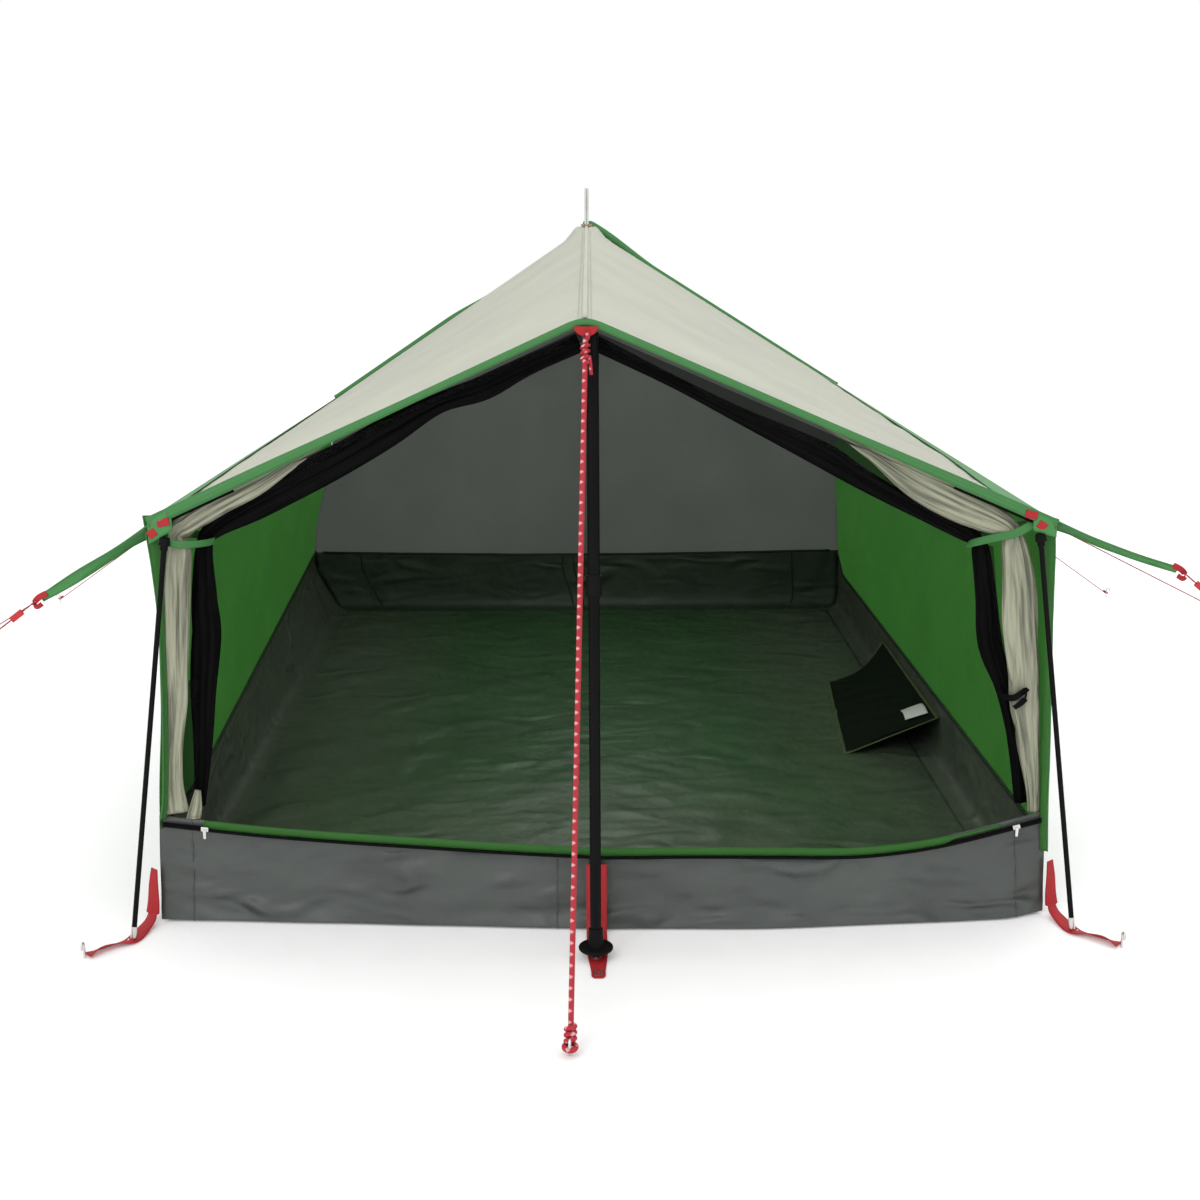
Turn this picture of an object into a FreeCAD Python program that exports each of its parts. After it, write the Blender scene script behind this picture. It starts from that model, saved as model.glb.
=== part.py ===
"""Two-person ridge tent, pitched on two trekking poles with its front doors tied back.

Millimetres. The origin is the middle of the groundsheet on the ground. The open front
faces -Y, the closed rear +Y, and +Z is up.
"""

import FreeCAD, Part
import math
import os

V = FreeCAD.Vector

# Driving dimensions of the tent body
FLOOR_HALF_WIDTH = 755.0
EAVE_HALF_WIDTH = 727.0
HALF_LENGTH = 1050.0
RIDGE_FRONT = 1017.0
RIDGE_REAR = 1110.0
EAVE_FRONT = 693.0
EAVE_REAR = 642.0
ROOF_OVERHANG = 12.0  # how far the roof stands past the end walls
PEAK_LEAN = -32.0  # the front peak is pitched this far off the middle
TUB_HEIGHT = 172.0  # waterproof bathtub wall
# Top edge of the front bathtub wall: out from the middle, and height. It is pitched
# unevenly, lowest on the right. Beyond the last point it runs straight to the corner.
SILL = {
    "right": ((0.0, 145.0), (150.0, 140.5), (300.0, 134.0), (420.0, 129.5), (520.0, 136.0), (600.0, 149.0)),
    "left": ((0.0, 145.0), (150.0, 150.0), (300.0, 157.0), (420.0, 163.0), (520.0, 169.0), (600.0, 175.0)),
}
SILL_CORNER = {"right": 184.0, "left": 189.0}
FRONT_BOW = 52.0  # the front centre webbing pulls the floor edge out this far
CLOTH = 1.0  # thickness of one fabric layer, as a solid
ROOF_STRIPS = 8  # each twisted roof half is built from strips that are nearly flat
GAP = 0.4  # clearance between pieces that only touch

# Trim
EAVE_BAND = (22.0, 12.0)  # out and down
BINDING_DEPTH = 13.0
PIPING_R = 2.5
PATCH_R = 16.0
LOOP_R, LOOP_CORD_R = 11.0, 3.0
LOOPS = {"side": (0.0, 610.0), "rear": (1048.0, 602.0)}  # y and z of each guyline loop
WING_START = (753.0, 1050.0, 676.0)
WING = {"right": (182.0, 68.0), "left": (157.0, 106.0)}  # out and down, to the end of the guy tab

# Webbing on the ground
WEB_WIDTH = 24.0
CENTRE_WEB_WIDTH = 33.0
CENTRE_WEB_X = {"front": -15.0, "rear": 0.0}
WEB_LOW, WEB_HIGH = 0.3, 2.3
WEB_REACH = {"front": 1276.0, "rear": 1300.0}  # from the middle of the tent to the centre webbing's end
WEB_END_HOLE = 18.0  # the hole at the end of the front centre webbing, in from its end
CORNER_WEB = ((757.0, 1052.0), (785.0, 1127.0), (845.0, 1182.0))
GROMMET = (5.5, 9.0, 1.0)  # bore radius, outer radius, thickness

# Trekking poles
POLE_FOOT = {-1: (-18.0, -1205.0), 1: (0.0, 1268.0)}  # front and rear
POLE_TOP_FRONT = (-20.0, -1046.0, 992.0)
POLE_TOP_REAR = (0.0, 1040.0, 1109.0)
TUBE_R, TUBE_BORE = 10.0, 9.05
SLIDE_R = 9.0
REAR_BORE, REAR_SLIDE_R = 8.05, 8.0
WALL = 1.0  # tube wall
SPIKE_R = 6.0
SPIKE_TOP_Z = 1215.0
JOINT_AT = 590.0  # along the front pole, from the ground
REAR_JOINT_AT = 560.0
COLLAR_R, COLLAR_BORE = 12.5, 10.15
BASKET_R, BASKET_LOW, BASKET_THICK = 28.0, 16.0, 5.0

# Corner struts
STRUT_R = 4.25
STRUT_TOP = (703.0, 1062.0)
STRUT_HIGH_FRONT, STRUT_HIGH_REAR = 670.0, 626.0  # just under the roof's end tapes

# Guylines
ROPE_R = 4.2
LINE_R = 1.25
PEG_R, PEG_HEIGHT, PEG_HOOK_R = 2.0, 30.0, 5.0
TIE_HEIGHT = 14.0  # a line meets its peg this far above the ground
ROPE_TOP = (-31.0, -1072.0, 984.0)
ROPE_PEG = (-61.0, -1503.0)
FRONT_PEG = {"right": (1660.0, -1130.0), "left": (-1660.0, -1130.0)}
SIDE_PEG = {"right": (1955.0, 0.0), "left": (-1750.0, -50.0)}
REAR_PEG = {"right": (1595.0, 1130.0), "left": (-1595.0, 1130.0)}

os.makedirs("parts", exist_ok=True)


def export(name, *solids):
    shape = solids[0] if len(solids) == 1 else Part.makeCompound(list(solids))
    for solid in shape.Solids:
        if not solid.isValid() or solid.Volume <= 0:
            raise ValueError(name + " has a bad solid")
    shape.exportStep("parts/" + name + ".step")


def mirror_x(shape):
    return shape.mirror(V(0, 0, 0), V(1, 0, 0))


def mirror_y(shape):
    return shape.mirror(V(0, 0, 0), V(0, 1, 0))


def four_corners(shape):
    """The piece at the front right corner and its three mirror images."""
    right = [shape, mirror_y(shape)]
    return right + [mirror_x(s) for s in right]


def prism(points, along):
    outline = [V(*p) for p in points]
    face = Part.Face(Part.makePolygon(outline + [outline[0]]))
    return face.extrude(V(*along))


def slab(a, b, c, d, thickness):
    """A ruled panel between edge a-b and edge d-c, thickened by one vector."""
    lower = [V(*p) for p in (a, b, c, d)]
    upper = [p + V(*thickness) for p in lower]
    faces = []
    for q in (lower, upper):
        faces.append(
            Part.makeRuledSurface(Part.makeLine(q[0], q[1]), Part.makeLine(q[3], q[2]))
        )
    for i in range(4):
        j = (i + 1) % 4
        faces.append(
            Part.makeRuledSurface(
                Part.makeLine(lower[i], lower[j]), Part.makeLine(upper[i], upper[j])
            )
        )
    shell = Part.makeShell(faces)
    shell.sewShape()
    solid = Part.Solid(Part.Shell(shell.Faces))
    if solid.Volume < 0:
        solid.reverse()
    return solid


def rod(a, b, radius, end_radius=None):
    """A round bar or, with an end radius, a cone from a to b."""
    a, b = V(*a), V(*b)
    along = b - a
    if end_radius is None:
        return Part.makeCylinder(radius, along.Length, a, along)
    return Part.makeCone(radius, end_radius, along.Length, a, along)


def ring(centre, axis, bore, outer, thickness):
    whole = Part.makeCylinder(outer, thickness, V(*centre), V(*axis))
    return whole.cut(Part.makeCylinder(bore, thickness, V(*centre), V(*axis)))


def roll(low, high, half_width, half_depth):
    """A flattened roll of cloth between two heights."""
    ellipse = Part.Ellipse(V(*low), half_width, half_depth)
    face = Part.Face(Part.Wire([ellipse.toShape()]))
    return face.extrude(V(*high) - V(*low))


# ---------------------------------------------------------------- tent body


def ridge_z(y):
    share = (y + HALF_LENGTH) / (2 * HALF_LENGTH)
    return RIDGE_FRONT + (RIDGE_REAR - RIDGE_FRONT) * share


def eave_z(y):
    share = (y + HALF_LENGTH) / (2 * HALF_LENGTH)
    return EAVE_FRONT + (EAVE_REAR - EAVE_FRONT) * share


def roof_z(x, y):
    return ridge_z(y) + (eave_z(y) - ridge_z(y)) * abs(x) / EAVE_HALF_WIDTH


def wall_x(z):
    """The side walls lean in a little towards the eaves."""
    lean = (FLOOR_HALF_WIDTH - EAVE_HALF_WIDTH) / ((EAVE_FRONT + EAVE_REAR) / 2)
    return FLOOR_HALF_WIDTH - lean * z


def lean_x(y):
    """How far the ridge stands off the middle: all of the lean in front, none behind."""
    return PEAK_LEAN * (HALF_LENGTH + ROOF_OVERHANG - y) / (2 * (HALF_LENGTH + ROOF_OVERHANG))


def pole_foot(side):
    return POLE_FOOT[side]


def pole_axis(top, side):
    """The foot of a pole on the ground in front or behind, and the unit vector up it."""
    foot = V(*pole_foot(side), 0)
    along = V(*top) - foot
    return foot, along / along.Length


def make_roof():
    end = HALF_LENGTH + ROOF_OVERHANG
    seam = GAP / 2
    foot, up = pole_axis(POLE_TOP_REAR, 1)
    spike_hole = Part.makeCylinder(SPIKE_R + 2.5, 200, foot + up * 1050, up)
    step = 2 * end / ROOF_STRIPS
    for name, out in (("right", 1), ("left", -1)):
        strips = []
        for i in range(ROOF_STRIPS):
            near, far = -end + i * step, -end + (i + 1) * step
            strip = slab(
                (lean_x(near) + out * seam, near, ridge_z(near) - CLOTH),
                (lean_x(far) + out * seam, far, ridge_z(far) - CLOTH),
                (out * EAVE_HALF_WIDTH, far, eave_z(far) - CLOTH),
                (out * EAVE_HALF_WIDTH, near, eave_z(near) - CLOTH),
                (0, 0, CLOTH),
            )
            strips += strip.cut(spike_hole).Solids
        export("roof_" + name, *strips)

    piping_end = 1022.0
    lift = PIPING_R + GAP + 0.6
    low = (lean_x(-end), -end, ridge_z(-end) + lift)
    high = (lean_x(piping_end), piping_end, ridge_z(piping_end) + lift)
    export("ridge_piping", rod(low, high, PIPING_R))

    out, down = EAVE_BAND
    inner = EAVE_HALF_WIDTH + GAP
    band = slab(
        (inner, -end, eave_z(-end) - CLOTH),
        (inner, end, eave_z(end) - CLOTH),
        (inner + out, end, eave_z(end) - CLOTH - down),
        (inner + out, -end, eave_z(-end) - CLOTH - down),
        (0, 0, CLOTH),
    )
    export("eave_bands", band, mirror_x(band))
    make_end_bindings(end)


def make_end_bindings(end):
    """Folded tape along the front and rear edges of the roof."""
    out, down = EAVE_BAND
    tapes = []
    for side in (-1, 1):
        y = side * (end + GAP)
        peak, eave = ridge_z(y) + 1, eave_z(y) - down + 1
        half = EAVE_HALF_WIDTH + out
        chevron = [
            (-half, y, eave),
            (lean_x(side * end), y, peak),
            (half, y, eave),
            (half, y, eave - BINDING_DEPTH),
            (lean_x(side * end), y, peak - BINDING_DEPTH),
            (-half, y, eave - BINDING_DEPTH),
        ]
        tapes.append(prism(chevron, (0, side * CLOTH, 0)))
    export("roof_bindings", *tapes)


def make_side_walls():
    y = HALF_LENGTH - CLOTH - GAP
    low = TUB_HEIGHT + GAP
    top_f, top_r = eave_z(-y) - CLOTH - GAP, eave_z(y) - CLOTH - GAP
    wall = slab(
        (wall_x(low), -y, low),
        (wall_x(low), y, low),
        (wall_x(top_r), y, top_r),
        (wall_x(top_f), -y, top_f),
        (-CLOTH, 0, 0),
    )
    export("side_wall_right", wall)
    export("side_wall_left", mirror_x(wall))
    floor_top = CLOTH + GAP
    tub = slab(
        (wall_x(floor_top), -y, floor_top),
        (wall_x(floor_top), y, floor_top),
        (wall_x(TUB_HEIGHT), y, TUB_HEIGHT),
        (wall_x(TUB_HEIGHT), -y, TUB_HEIGHT),
        (-CLOTH, 0, 0),
    )
    export("bathtub_right", tub)
    export("bathtub_left", mirror_x(tub))


def make_groundsheet():
    w, h = FLOOR_HALF_WIDTH, HALF_LENGTH
    outline = [(-w, -h, 0), (0, -h - FRONT_BOW, 0), (w, -h, 0), (w, h, 0), (-w, h, 0)]
    export("groundsheet", prism(outline, (0, 0, CLOTH)))


def make_rear_wall():
    y = HALF_LENGTH - CLOTH
    low = TUB_HEIGHT + GAP
    top = CLOTH + 2 * GAP
    vent_half, vent_drop = 22.0, 100.0  # the pole passes through this vent to the apex
    right = [
        (wall_x(low), y, low),
        (EAVE_HALF_WIDTH - 1, y, roof_z(EAVE_HALF_WIDTH - 1, y) - top),
        (vent_half, y, roof_z(vent_half, y) - top),
        (vent_half, y, ridge_z(y) - vent_drop),
    ]
    left = [(-x, yy, z) for x, yy, z in reversed(right)]
    export("rear_wall", prism(right + left, (0, CLOTH, 0)))
    tub_low = CLOTH + GAP
    tub = [
        (-wall_x(tub_low), y, tub_low),
        (wall_x(tub_low), y, tub_low),
        (wall_x(TUB_HEIGHT), y, TUB_HEIGHT),
        (-wall_x(TUB_HEIGHT), y, TUB_HEIGHT),
    ]
    export("bathtub_rear", prism(tub, (0, CLOTH, 0)))
    zip_half = 4.0
    zip_top = ridge_z(y) - vent_drop - 8
    outer = y + CLOTH + GAP
    coil = [
        (-zip_half, outer, low),
        (zip_half, outer, low),
        (zip_half, outer, zip_top),
        (-zip_half, outer, zip_top),
    ]
    export("rear_door_zipper", prism(coil, (0, 1.2, 0)))


# ------------------------------------------------- front wall and its zipper


def sill_edges(side, shift):
    """The top edge of one half of the front wall, moved up by shift.

    x runs along the wall from the middle of the tent to the corner.
    """
    points = [V(x, 0, z + shift) for x, z in SILL[side]]
    curve = Part.BSplineCurve()
    curve.interpolate(points)
    corner = V(wall_x(SILL_CORNER[side]), 0, SILL_CORNER[side] + shift)
    return [curve.toShape(), Part.makeLine(points[-1], corner)], points[0], corner


def sill_strip(side, low, high, thickness):
    """A band that follows the sill, from low to high of it."""
    top, top_middle, top_corner = sill_edges(side, high)
    bottom, low_middle, low_corner = sill_edges(side, low)
    sides = [Part.makeLine(top_corner, low_corner), Part.makeLine(top_middle, low_middle)]
    wire = Part.Wire(Part.__sortEdges__(top + bottom + sides))
    return Part.Face(wire).extrude(V(0, thickness, 0))


def front_wall_frame():
    """Turns a flat right half of the front wall into its bowed place."""
    angle = math.degrees(math.atan2(FRONT_BOW, FLOOR_HALF_WIDTH))
    return FreeCAD.Placement(
        V(0, -HALF_LENGTH - FRONT_BOW, 0), FreeCAD.Rotation(V(0, 0, 1), angle)
    )


def place_in_front_wall(shape):
    moved = shape.copy()
    moved.Placement = front_wall_frame().multiply(moved.Placement)
    return moved


def turn_out(side, shape):
    """Stands a flat half of the front wall in its place, right or left."""
    moved = place_in_front_wall(shape)
    return moved if side == "right" else mirror_x(moved)


def make_front_wall():
    floor_top = CLOTH + GAP
    length = math.hypot(FLOOR_HALF_WIDTH, FRONT_BOW)
    low_corner, low_middle = V(length, 0, floor_top), V(0, 0, floor_top)
    outward = V(0, -CLOTH - GAP, 0)
    walls, bindings, zippers = [], [], []
    for side in ("right", "left"):
        top, middle, corner = sill_edges(side, 0)
        edges = top + [
            Part.makeLine(corner, low_corner),
            Part.makeLine(low_corner, low_middle),
            Part.makeLine(low_middle, middle),
        ]
        half = Part.Face(Part.Wire(Part.__sortEdges__(edges))).extrude(V(0, CLOTH, 0))
        walls.append(turn_out(side, half))
        for pieces, low, high in ((bindings, -8, 1.5), (zippers, -15, -8.5)):
            band = sill_strip(side, low, high, CLOTH)
            band.translate(outward)
            pieces.append(turn_out(side, band))
    export("bathtub_front", *walls)
    export("door_sill_binding", *bindings)
    export("door_zipper", *zippers)


def make_zipper_sliders():
    """One slider near each front corner, with a pull that hangs from it."""
    along, zipper_drop, pull_length = 13.0, 11.5, 16.0
    face_y = -CLOTH - 2 * GAP - CLOTH
    for side, start in (("right", 700.0), ("left", 672.0)):
        bend_x, bend_z = SILL[side][-1]
        slope = math.atan2(SILL_CORNER[side] - bend_z, wall_x(SILL_CORNER[side]) - bend_x)
        height = bend_z + (start - bend_x) * math.tan(slope) - zipper_drop
        slider = Part.makeBox(along, 4.0, 8.0, V(-along / 2, -4.0, -4.0))
        slider = slider.makeFillet(1.2, slider.Edges)
        slider.rotate(V(0, 0, 0), V(0, 1, 0), -math.degrees(slope))
        slider.translate(V(start, face_y, height))
        pull_y = face_y - 4.0 - GAP
        pull = prism(
            [
                (start - 2.8, pull_y, height),
                (start + 2.8, pull_y, height),
                (start + 2.0, pull_y, height - pull_length),
                (start - 2.0, pull_y, height - pull_length),
            ],
            (0, -1.2, 0),
        )
        export("zipper_slider_" + side, turn_out(side, slider))
        export("zipper_pull_" + side, turn_out(side, pull))
        frame = front_wall_frame()
        pivot = frame.multVec(V(start, pull_y, height))
        inward = frame.Rotation.multVec(V(-math.cos(slope), 0, -math.sin(slope)))
        across = frame.Rotation.multVec(V(1, 0, 0))
        print(side, "slider, before mirroring: pivot", pivot, "slides along", inward, "pull axis", across)


# -------------------------------------------------------------- front doors


def make_doors():
    """Each door is rolled to its corner: a cream outer leaf and a mesh inner leaf."""
    outer_y, inner_y = -1030.0, -1002.0
    outer = roll((712, outer_y, 186), (670, outer_y, 640), 20, 11)
    gather = rod((655, -1036, 680), (345, -1036, 842), 17, 5)
    mesh = roll((686, inner_y, 190), (646, inner_y, 640), 24, 11)
    band_y = -1016.0
    band = prism(
        [
            (24, band_y, 986),
            (640, band_y, 706),
            (640, band_y, 646),
            (24, band_y, 950),
        ],
        (0, 2 * CLOTH, 0),
    )
    for side, turn in (("right", lambda s: s), ("left", mirror_x)):
        export("outer_door_" + side, turn(outer), turn(gather))
        export("mesh_door_" + side, turn(mesh), turn(band))

    tie_z, tie_height, strap = 612.0, 18.0, 1.2
    x0, x1, y0, y1 = 618.0, 697.0, -1044.0, -987.0
    box = Part.makeBox(x1 - x0 + 2 * strap, y1 - y0 + 2 * strap, tie_height, V(x0 - strap, y0 - strap, tie_z))
    tie = box.cut(Part.makeBox(x1 - x0, y1 - y0, tie_height, V(x0, y0, tie_z)))
    export("door_ties", tie, mirror_x(tie))


def make_gussets():
    """Green strips that bring the side walls round the front corners."""
    y = -HALF_LENGTH
    high = EAVE_FRONT - 22
    strips = []
    for side in ("right", "left"):
        low = SILL_CORNER[side] + GAP
        strip = prism(
            [
                (wall_x(low), y, low),
                (wall_x(high), y, high),
                (wall_x(high) - 34, y, high),
                (wall_x(low) - 14, y, low),
            ],
            (0, CLOTH, 0),
        )
        strips.append(strip if side == "right" else mirror_x(strip))
    export("corner_gussets", *strips)


def make_pocket():
    """A flat gear pocket, sewn along the bathtub wall, that lies on the floor."""
    hinge_x, hinge_z = 742.0, 96.0
    thick = 3.0
    pocket = slab(
        (hinge_x, -287, hinge_z),
        (hinge_x, 315, hinge_z),
        (598, 262, 3.2),
        (552, -258, 3.2),
        (0, 0, thick),
    )
    export("gear_pocket", pocket)


# ------------------------------------------------------- guy tabs and webbing


def loop_centre_x(z):
    """A loop stands out from the wall, just clear of it."""
    return wall_x(z) + LOOP_R + LOOP_CORD_R + GAP


def make_guy_tabs():
    x, y, z = WING_START
    wings = []
    for side, (out, down) in WING.items():
        wing = slab(
            (x, -y - 10, z),
            (x, -y + 34, z),
            (x + out, -y - 10, z - down),
            (x + out, -y - 22, z - down),
            (0, 0, 1.2),
        )
        wings.append(wing if side == "right" else mirror_x(wing))
    loops = []
    for loop_y, loop_z in LOOPS.values():
        centre = V(loop_centre_x(loop_z), loop_y, loop_z)
        loop = Part.makeTorus(LOOP_R, LOOP_CORD_R, centre, V(0, 1, 0))
        loops += [loop, mirror_x(loop)]
    export("guy_tabs", *wings, *loops)


def make_peak_patches():
    solids = []
    for side, top in ((-1, RIDGE_FRONT), (1, RIDGE_REAR)):
        y = side * (HALF_LENGTH + ROOF_OVERHANG + CLOTH + 2 * GAP)
        drop = 12.0
        x = PEAK_LEAN + 2 if side < 0 else 0.0
        disc = Part.makeCylinder(PATCH_R, CLOTH, V(x, y, top - drop), V(0, side, 0))
        cutter = Part.makeBox(60, 10, 40, V(x - 30, y - 5, top - drop))
        solids.append(disc.cut(cutter))
    export("peak_patches", *solids)


def strap(points, width, holes=()):
    """A flat strap on the ground along points, with round holes."""
    thick = WEB_HIGH - WEB_LOW
    body = None
    for a, b in zip(points, points[1:]):
        run = V(b[0] - a[0], b[1] - a[1], 0)
        side = V(-run.y, run.x, 0) / run.Length * (width / 2)
        corners = [
            (a[0] + side.x, a[1] + side.y, WEB_LOW),
            (b[0] + side.x, b[1] + side.y, WEB_LOW),
            (b[0] - side.x, b[1] - side.y, WEB_LOW),
            (a[0] - side.x, a[1] - side.y, WEB_LOW),
        ]
        piece = prism(corners, (0, 0, thick))
        body = piece if body is None else body.fuse(piece)
    for knee in points[1:-1]:
        body = body.fuse(Part.makeCylinder(width / 2, thick, V(knee[0], knee[1], WEB_LOW)))
    for x, y in holes:
        body = body.cut(Part.makeCylinder(GROMMET[0], 3 * thick, V(x, y, WEB_LOW - thick)))
    return body.removeSplitter()


def make_webbing():
    """Red webbing: a strap from each corner and each end, pegged to the ground."""
    points = [(x, -y) for x, y in CORNER_WEB]
    foot = points[1]
    ground = strap([(points[0][0] + 4, points[0][1] - 12)] + points[1:], WEB_WIDTH, [foot])
    stand = prism([(0, -0.75, 0), (WEB_WIDTH, -0.75, 0), (WEB_WIDTH, 0.75, 0), (0, 0.75, 0)], (0, 0, 82))
    stand.rotate(V(0, 0, 0), V(0, 0, 1), -58)
    stand.translate(V(points[0][0] + 1.5, points[0][1] - 1, WEB_HIGH + GAP))
    export("corner_webbing", *four_corners(ground), *four_corners(stand))

    half = CENTRE_WEB_WIDTH / 2
    for name, side, wall_y in (("front", -1, HALF_LENGTH + FRONT_BOW), ("rear", 1, HALF_LENGTH)):
        near, x = side * (wall_y + 2 * GAP), CENTRE_WEB_X[name]
        end = side * WEB_REACH[name]
        holes = [pole_foot(side)]
        if side < 0:
            holes.append((x, end + WEB_END_HOLE))
        lying = strap([(x, near), (x, end)], CENTRE_WEB_WIDTH, holes)
        standing = prism(
            [
                (x - half, near, WEB_HIGH + GAP),
                (x + half, near, WEB_HIGH + GAP),
                (x + half, near, 122),
                (x - half, near, 122),
            ],
            (0, side * 1.5, 0),
        )
        export("centre_webbing_" + name, lying, standing)

    bore, outer, thick = GROMMET
    seats = [(foot[0], foot[1]), (foot[0], -foot[1]), (-foot[0], foot[1]), (-foot[0], -foot[1])]
    seats += [pole_foot(-1), pole_foot(1)]
    seats.append((CENTRE_WEB_X["front"], WEB_END_HOLE - WEB_REACH["front"]))
    rings = [ring((x, y, WEB_HIGH), (0, 0, 1), bore, outer, thick) for x, y in seats]
    export("webbing_grommets", *rings)


# ------------------------------------------------------------ poles and struts


def make_front_pole():
    foot, up = pole_axis(POLE_TOP_FRONT, -1)
    top = (V(*POLE_TOP_FRONT) - foot).Length

    def bar(start, end, radius, end_radius=None):
        return rod(foot + up * start, foot + up * end, radius, end_radius)

    tube = bar(JOINT_AT, top - 8, TUBE_R).cut(bar(JOINT_AT, top - 8, TUBE_BORE))
    export("front_pole_upper_tube", tube)
    export("front_pole_top_cap", bar(top - 8 + GAP, top, TUBE_R))
    collar = bar(JOINT_AT + 1, JOINT_AT + 34, COLLAR_R)
    export("front_pole_lock_collar", collar.cut(bar(JOINT_AT, JOINT_AT + 35, COLLAR_BORE)))
    sleeve_low, sleeve_high = BASKET_LOW + 2.5, 50.0
    slide_top = JOINT_AT + 66
    lower = bar(sleeve_high, slide_top, SLIDE_R).cut(bar(sleeve_high, slide_top, SLIDE_R - WALL))
    export("front_pole_lower_tube", lower)
    sleeve = bar(sleeve_low, sleeve_high, 12.5, 11.5)
    middle = foot + up * BASKET_LOW
    disc = Part.makeCylinder(BASKET_R, BASKET_THICK, V(middle.x, middle.y, BASKET_LOW))
    disc = disc.makeFillet(2.0, [e for e in disc.Edges if e.Closed])
    export("front_pole_basket", disc.fuse(sleeve).removeSplitter())
    export("front_pole_tip", bar(2, BASKET_LOW - 1, 2, 4.5))
    print("front pole slides along", up, "foot", foot)


def make_rear_pole():
    """The rear pole stands grip down, and its steel tip comes out through the apex."""
    foot, up = pole_axis(POLE_TOP_REAR, 1)
    spike_end = SPIKE_TOP_Z / up.z

    def bar(start, end, radius, end_radius=None):
        return rod(foot + up * start, foot + up * end, radius, end_radius)

    grip_end = 136.0
    grip = bar(7, 34, 17, 14).fuse(bar(34, 80, 14, 15.5)).fuse(bar(80, grip_end, 15.5, 12))
    export("rear_pole_grip", grip.removeSplitter())
    upper = bar(grip_end, REAR_JOINT_AT, TUBE_R).cut(bar(grip_end, REAR_JOINT_AT, REAR_BORE))
    export("rear_pole_upper_tube", upper)
    collar = bar(REAR_JOINT_AT - 34, REAR_JOINT_AT - 1, COLLAR_R)
    bore = bar(REAR_JOINT_AT - 35, REAR_JOINT_AT, COLLAR_BORE)
    export("rear_pole_lock_collar", collar.cut(bore))
    shoulder = 1097.0
    slide_low = REAR_JOINT_AT - 70
    lower = bar(slide_low, shoulder, REAR_SLIDE_R)
    export("rear_pole_lower_tube", lower.cut(bar(slide_low, shoulder - 4, REAR_SLIDE_R - WALL)))
    export("rear_pole_spike", bar(shoulder, spike_end, SPIKE_R))
    roof_at = V(*POLE_TOP_REAR)
    lift = 2 * PIPING_R
    seat = roof_at + up * lift
    export("apex_grommet", ring(seat, up, SPIKE_R + 1.2, SPIKE_R + 10, 2.2))
    print("rear pole slides along", up, "foot", foot, "spike from", foot + up * shoulder)


def make_struts():
    """A rod at each corner, from the grommet in its webbing to just under the eave."""
    rods, ferrules, caps = [], [], []
    for side, high in ((-1, STRUT_HIGH_FRONT), (1, STRUT_HIGH_REAR)):
        foot = V(CORNER_WEB[1][0], side * CORNER_WEB[1][1], 0)
        rise = V(STRUT_TOP[0], side * STRUT_TOP[1], high) - foot
        length, along = rise.Length, rise / rise.Length

        def bar(start, end, radius, end_radius=None):
            return rod(foot + along * start, foot + along * end, radius, end_radius)

        ferrule = bar(6, 26, 5).fuse(bar(1, 6, 2, 3)).removeSplitter()
        cap = bar(length - 20, length - 12, 6).fuse(bar(length - 12, length, 9, 8))
        for group, piece in (
            (rods, bar(26, length - 20, STRUT_R)),
            (ferrules, ferrule),
            (caps, cap.removeSplitter()),
        ):
            group += [piece, mirror_x(piece)]
    export("corner_struts", *rods)
    export("strut_ferrules", *ferrules)
    export("strut_caps", *caps)


# ---------------------------------------------------------- guylines and pegs


def peg(x, y, towards):
    """The part of a steel peg above the ground, with its hook turned away from the pull."""
    shank_top = PEG_HEIGHT - PEG_HOOK_R - PEG_R
    shank = rod((0, 0, 0.3), (0, 0, shank_top), PEG_R)
    circle = Part.Face(Part.Wire([Part.Circle(V(0, 0, shank_top), V(0, 0, 1), PEG_R).toShape()]))
    hook = circle.revolve(V(PEG_HOOK_R, 0, shank_top), V(0, 1, 0), 180)
    tip = rod((2 * PEG_HOOK_R, 0, shank_top), (2 * PEG_HOOK_R, 0, shank_top - 5), PEG_R)
    whole = shank.fuse([hook, tip]).removeSplitter()
    whole.rotate(V(0, 0, 0), V(0, 0, 1), math.degrees(math.atan2(y - towards[1], x - towards[0])))
    whole.translate(V(x, y, 0))
    return whole


def line_to_peg(start, peg_at, radius):
    """A taut line, one straight run from its tab to just short of its peg."""
    a = V(*start)
    level = V(start[0] - peg_at[0], start[1] - peg_at[1], 0)
    end = V(peg_at[0], peg_at[1], TIE_HEIGHT) + level / level.Length * (PEG_R + radius + 4 * GAP)
    along = (end - a) / (end - a).Length
    print("line", round((end - a).Length, 1), "mm from", a, "to", end)
    return Part.makeCylinder(radius, (end - a).Length, a, along), a, along


def make_guylines():
    x, y, z = WING_START
    starts = {"corner": FRONT_PEG, "side": SIDE_PEG, "rear": REAR_PEG}
    pegs = []
    for name, pegs_at in starts.items():
        for side, sign in (("right", 1), ("left", -1)):
            if name == "corner":
                out, down = WING[side]
                begin = (sign * (x + out + 4), -y - 16, z - down - 1)
            else:
                loop_y, loop_z = LOOPS[name]
                loop_x = loop_centre_x(loop_z) + LOOP_R + LOOP_CORD_R + GAP + LINE_R
                begin = (sign * loop_x, loop_y, loop_z)
            line, a, along = line_to_peg(begin, pegs_at[side], LINE_R)
            export("guyline_" + name + "_" + side, line)
            pegs.append(peg(*pegs_at[side], begin))
            if name == "corner":
                make_tensioner(side, a, along)
    rope, _, _ = line_to_peg(ROPE_TOP, ROPE_PEG, ROPE_R)
    export("guyline_front_rope", rope)
    pegs.append(peg(ROPE_PEG[0], ROPE_PEG[1], ROPE_TOP))
    export("guyline_pegs", *pegs)

    web_x, web_y = CORNER_WEB[2]
    export("webbing_pegs", *four_corners(peg(web_x + 3, -web_y - 3, CORNER_WEB[0])))


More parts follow.
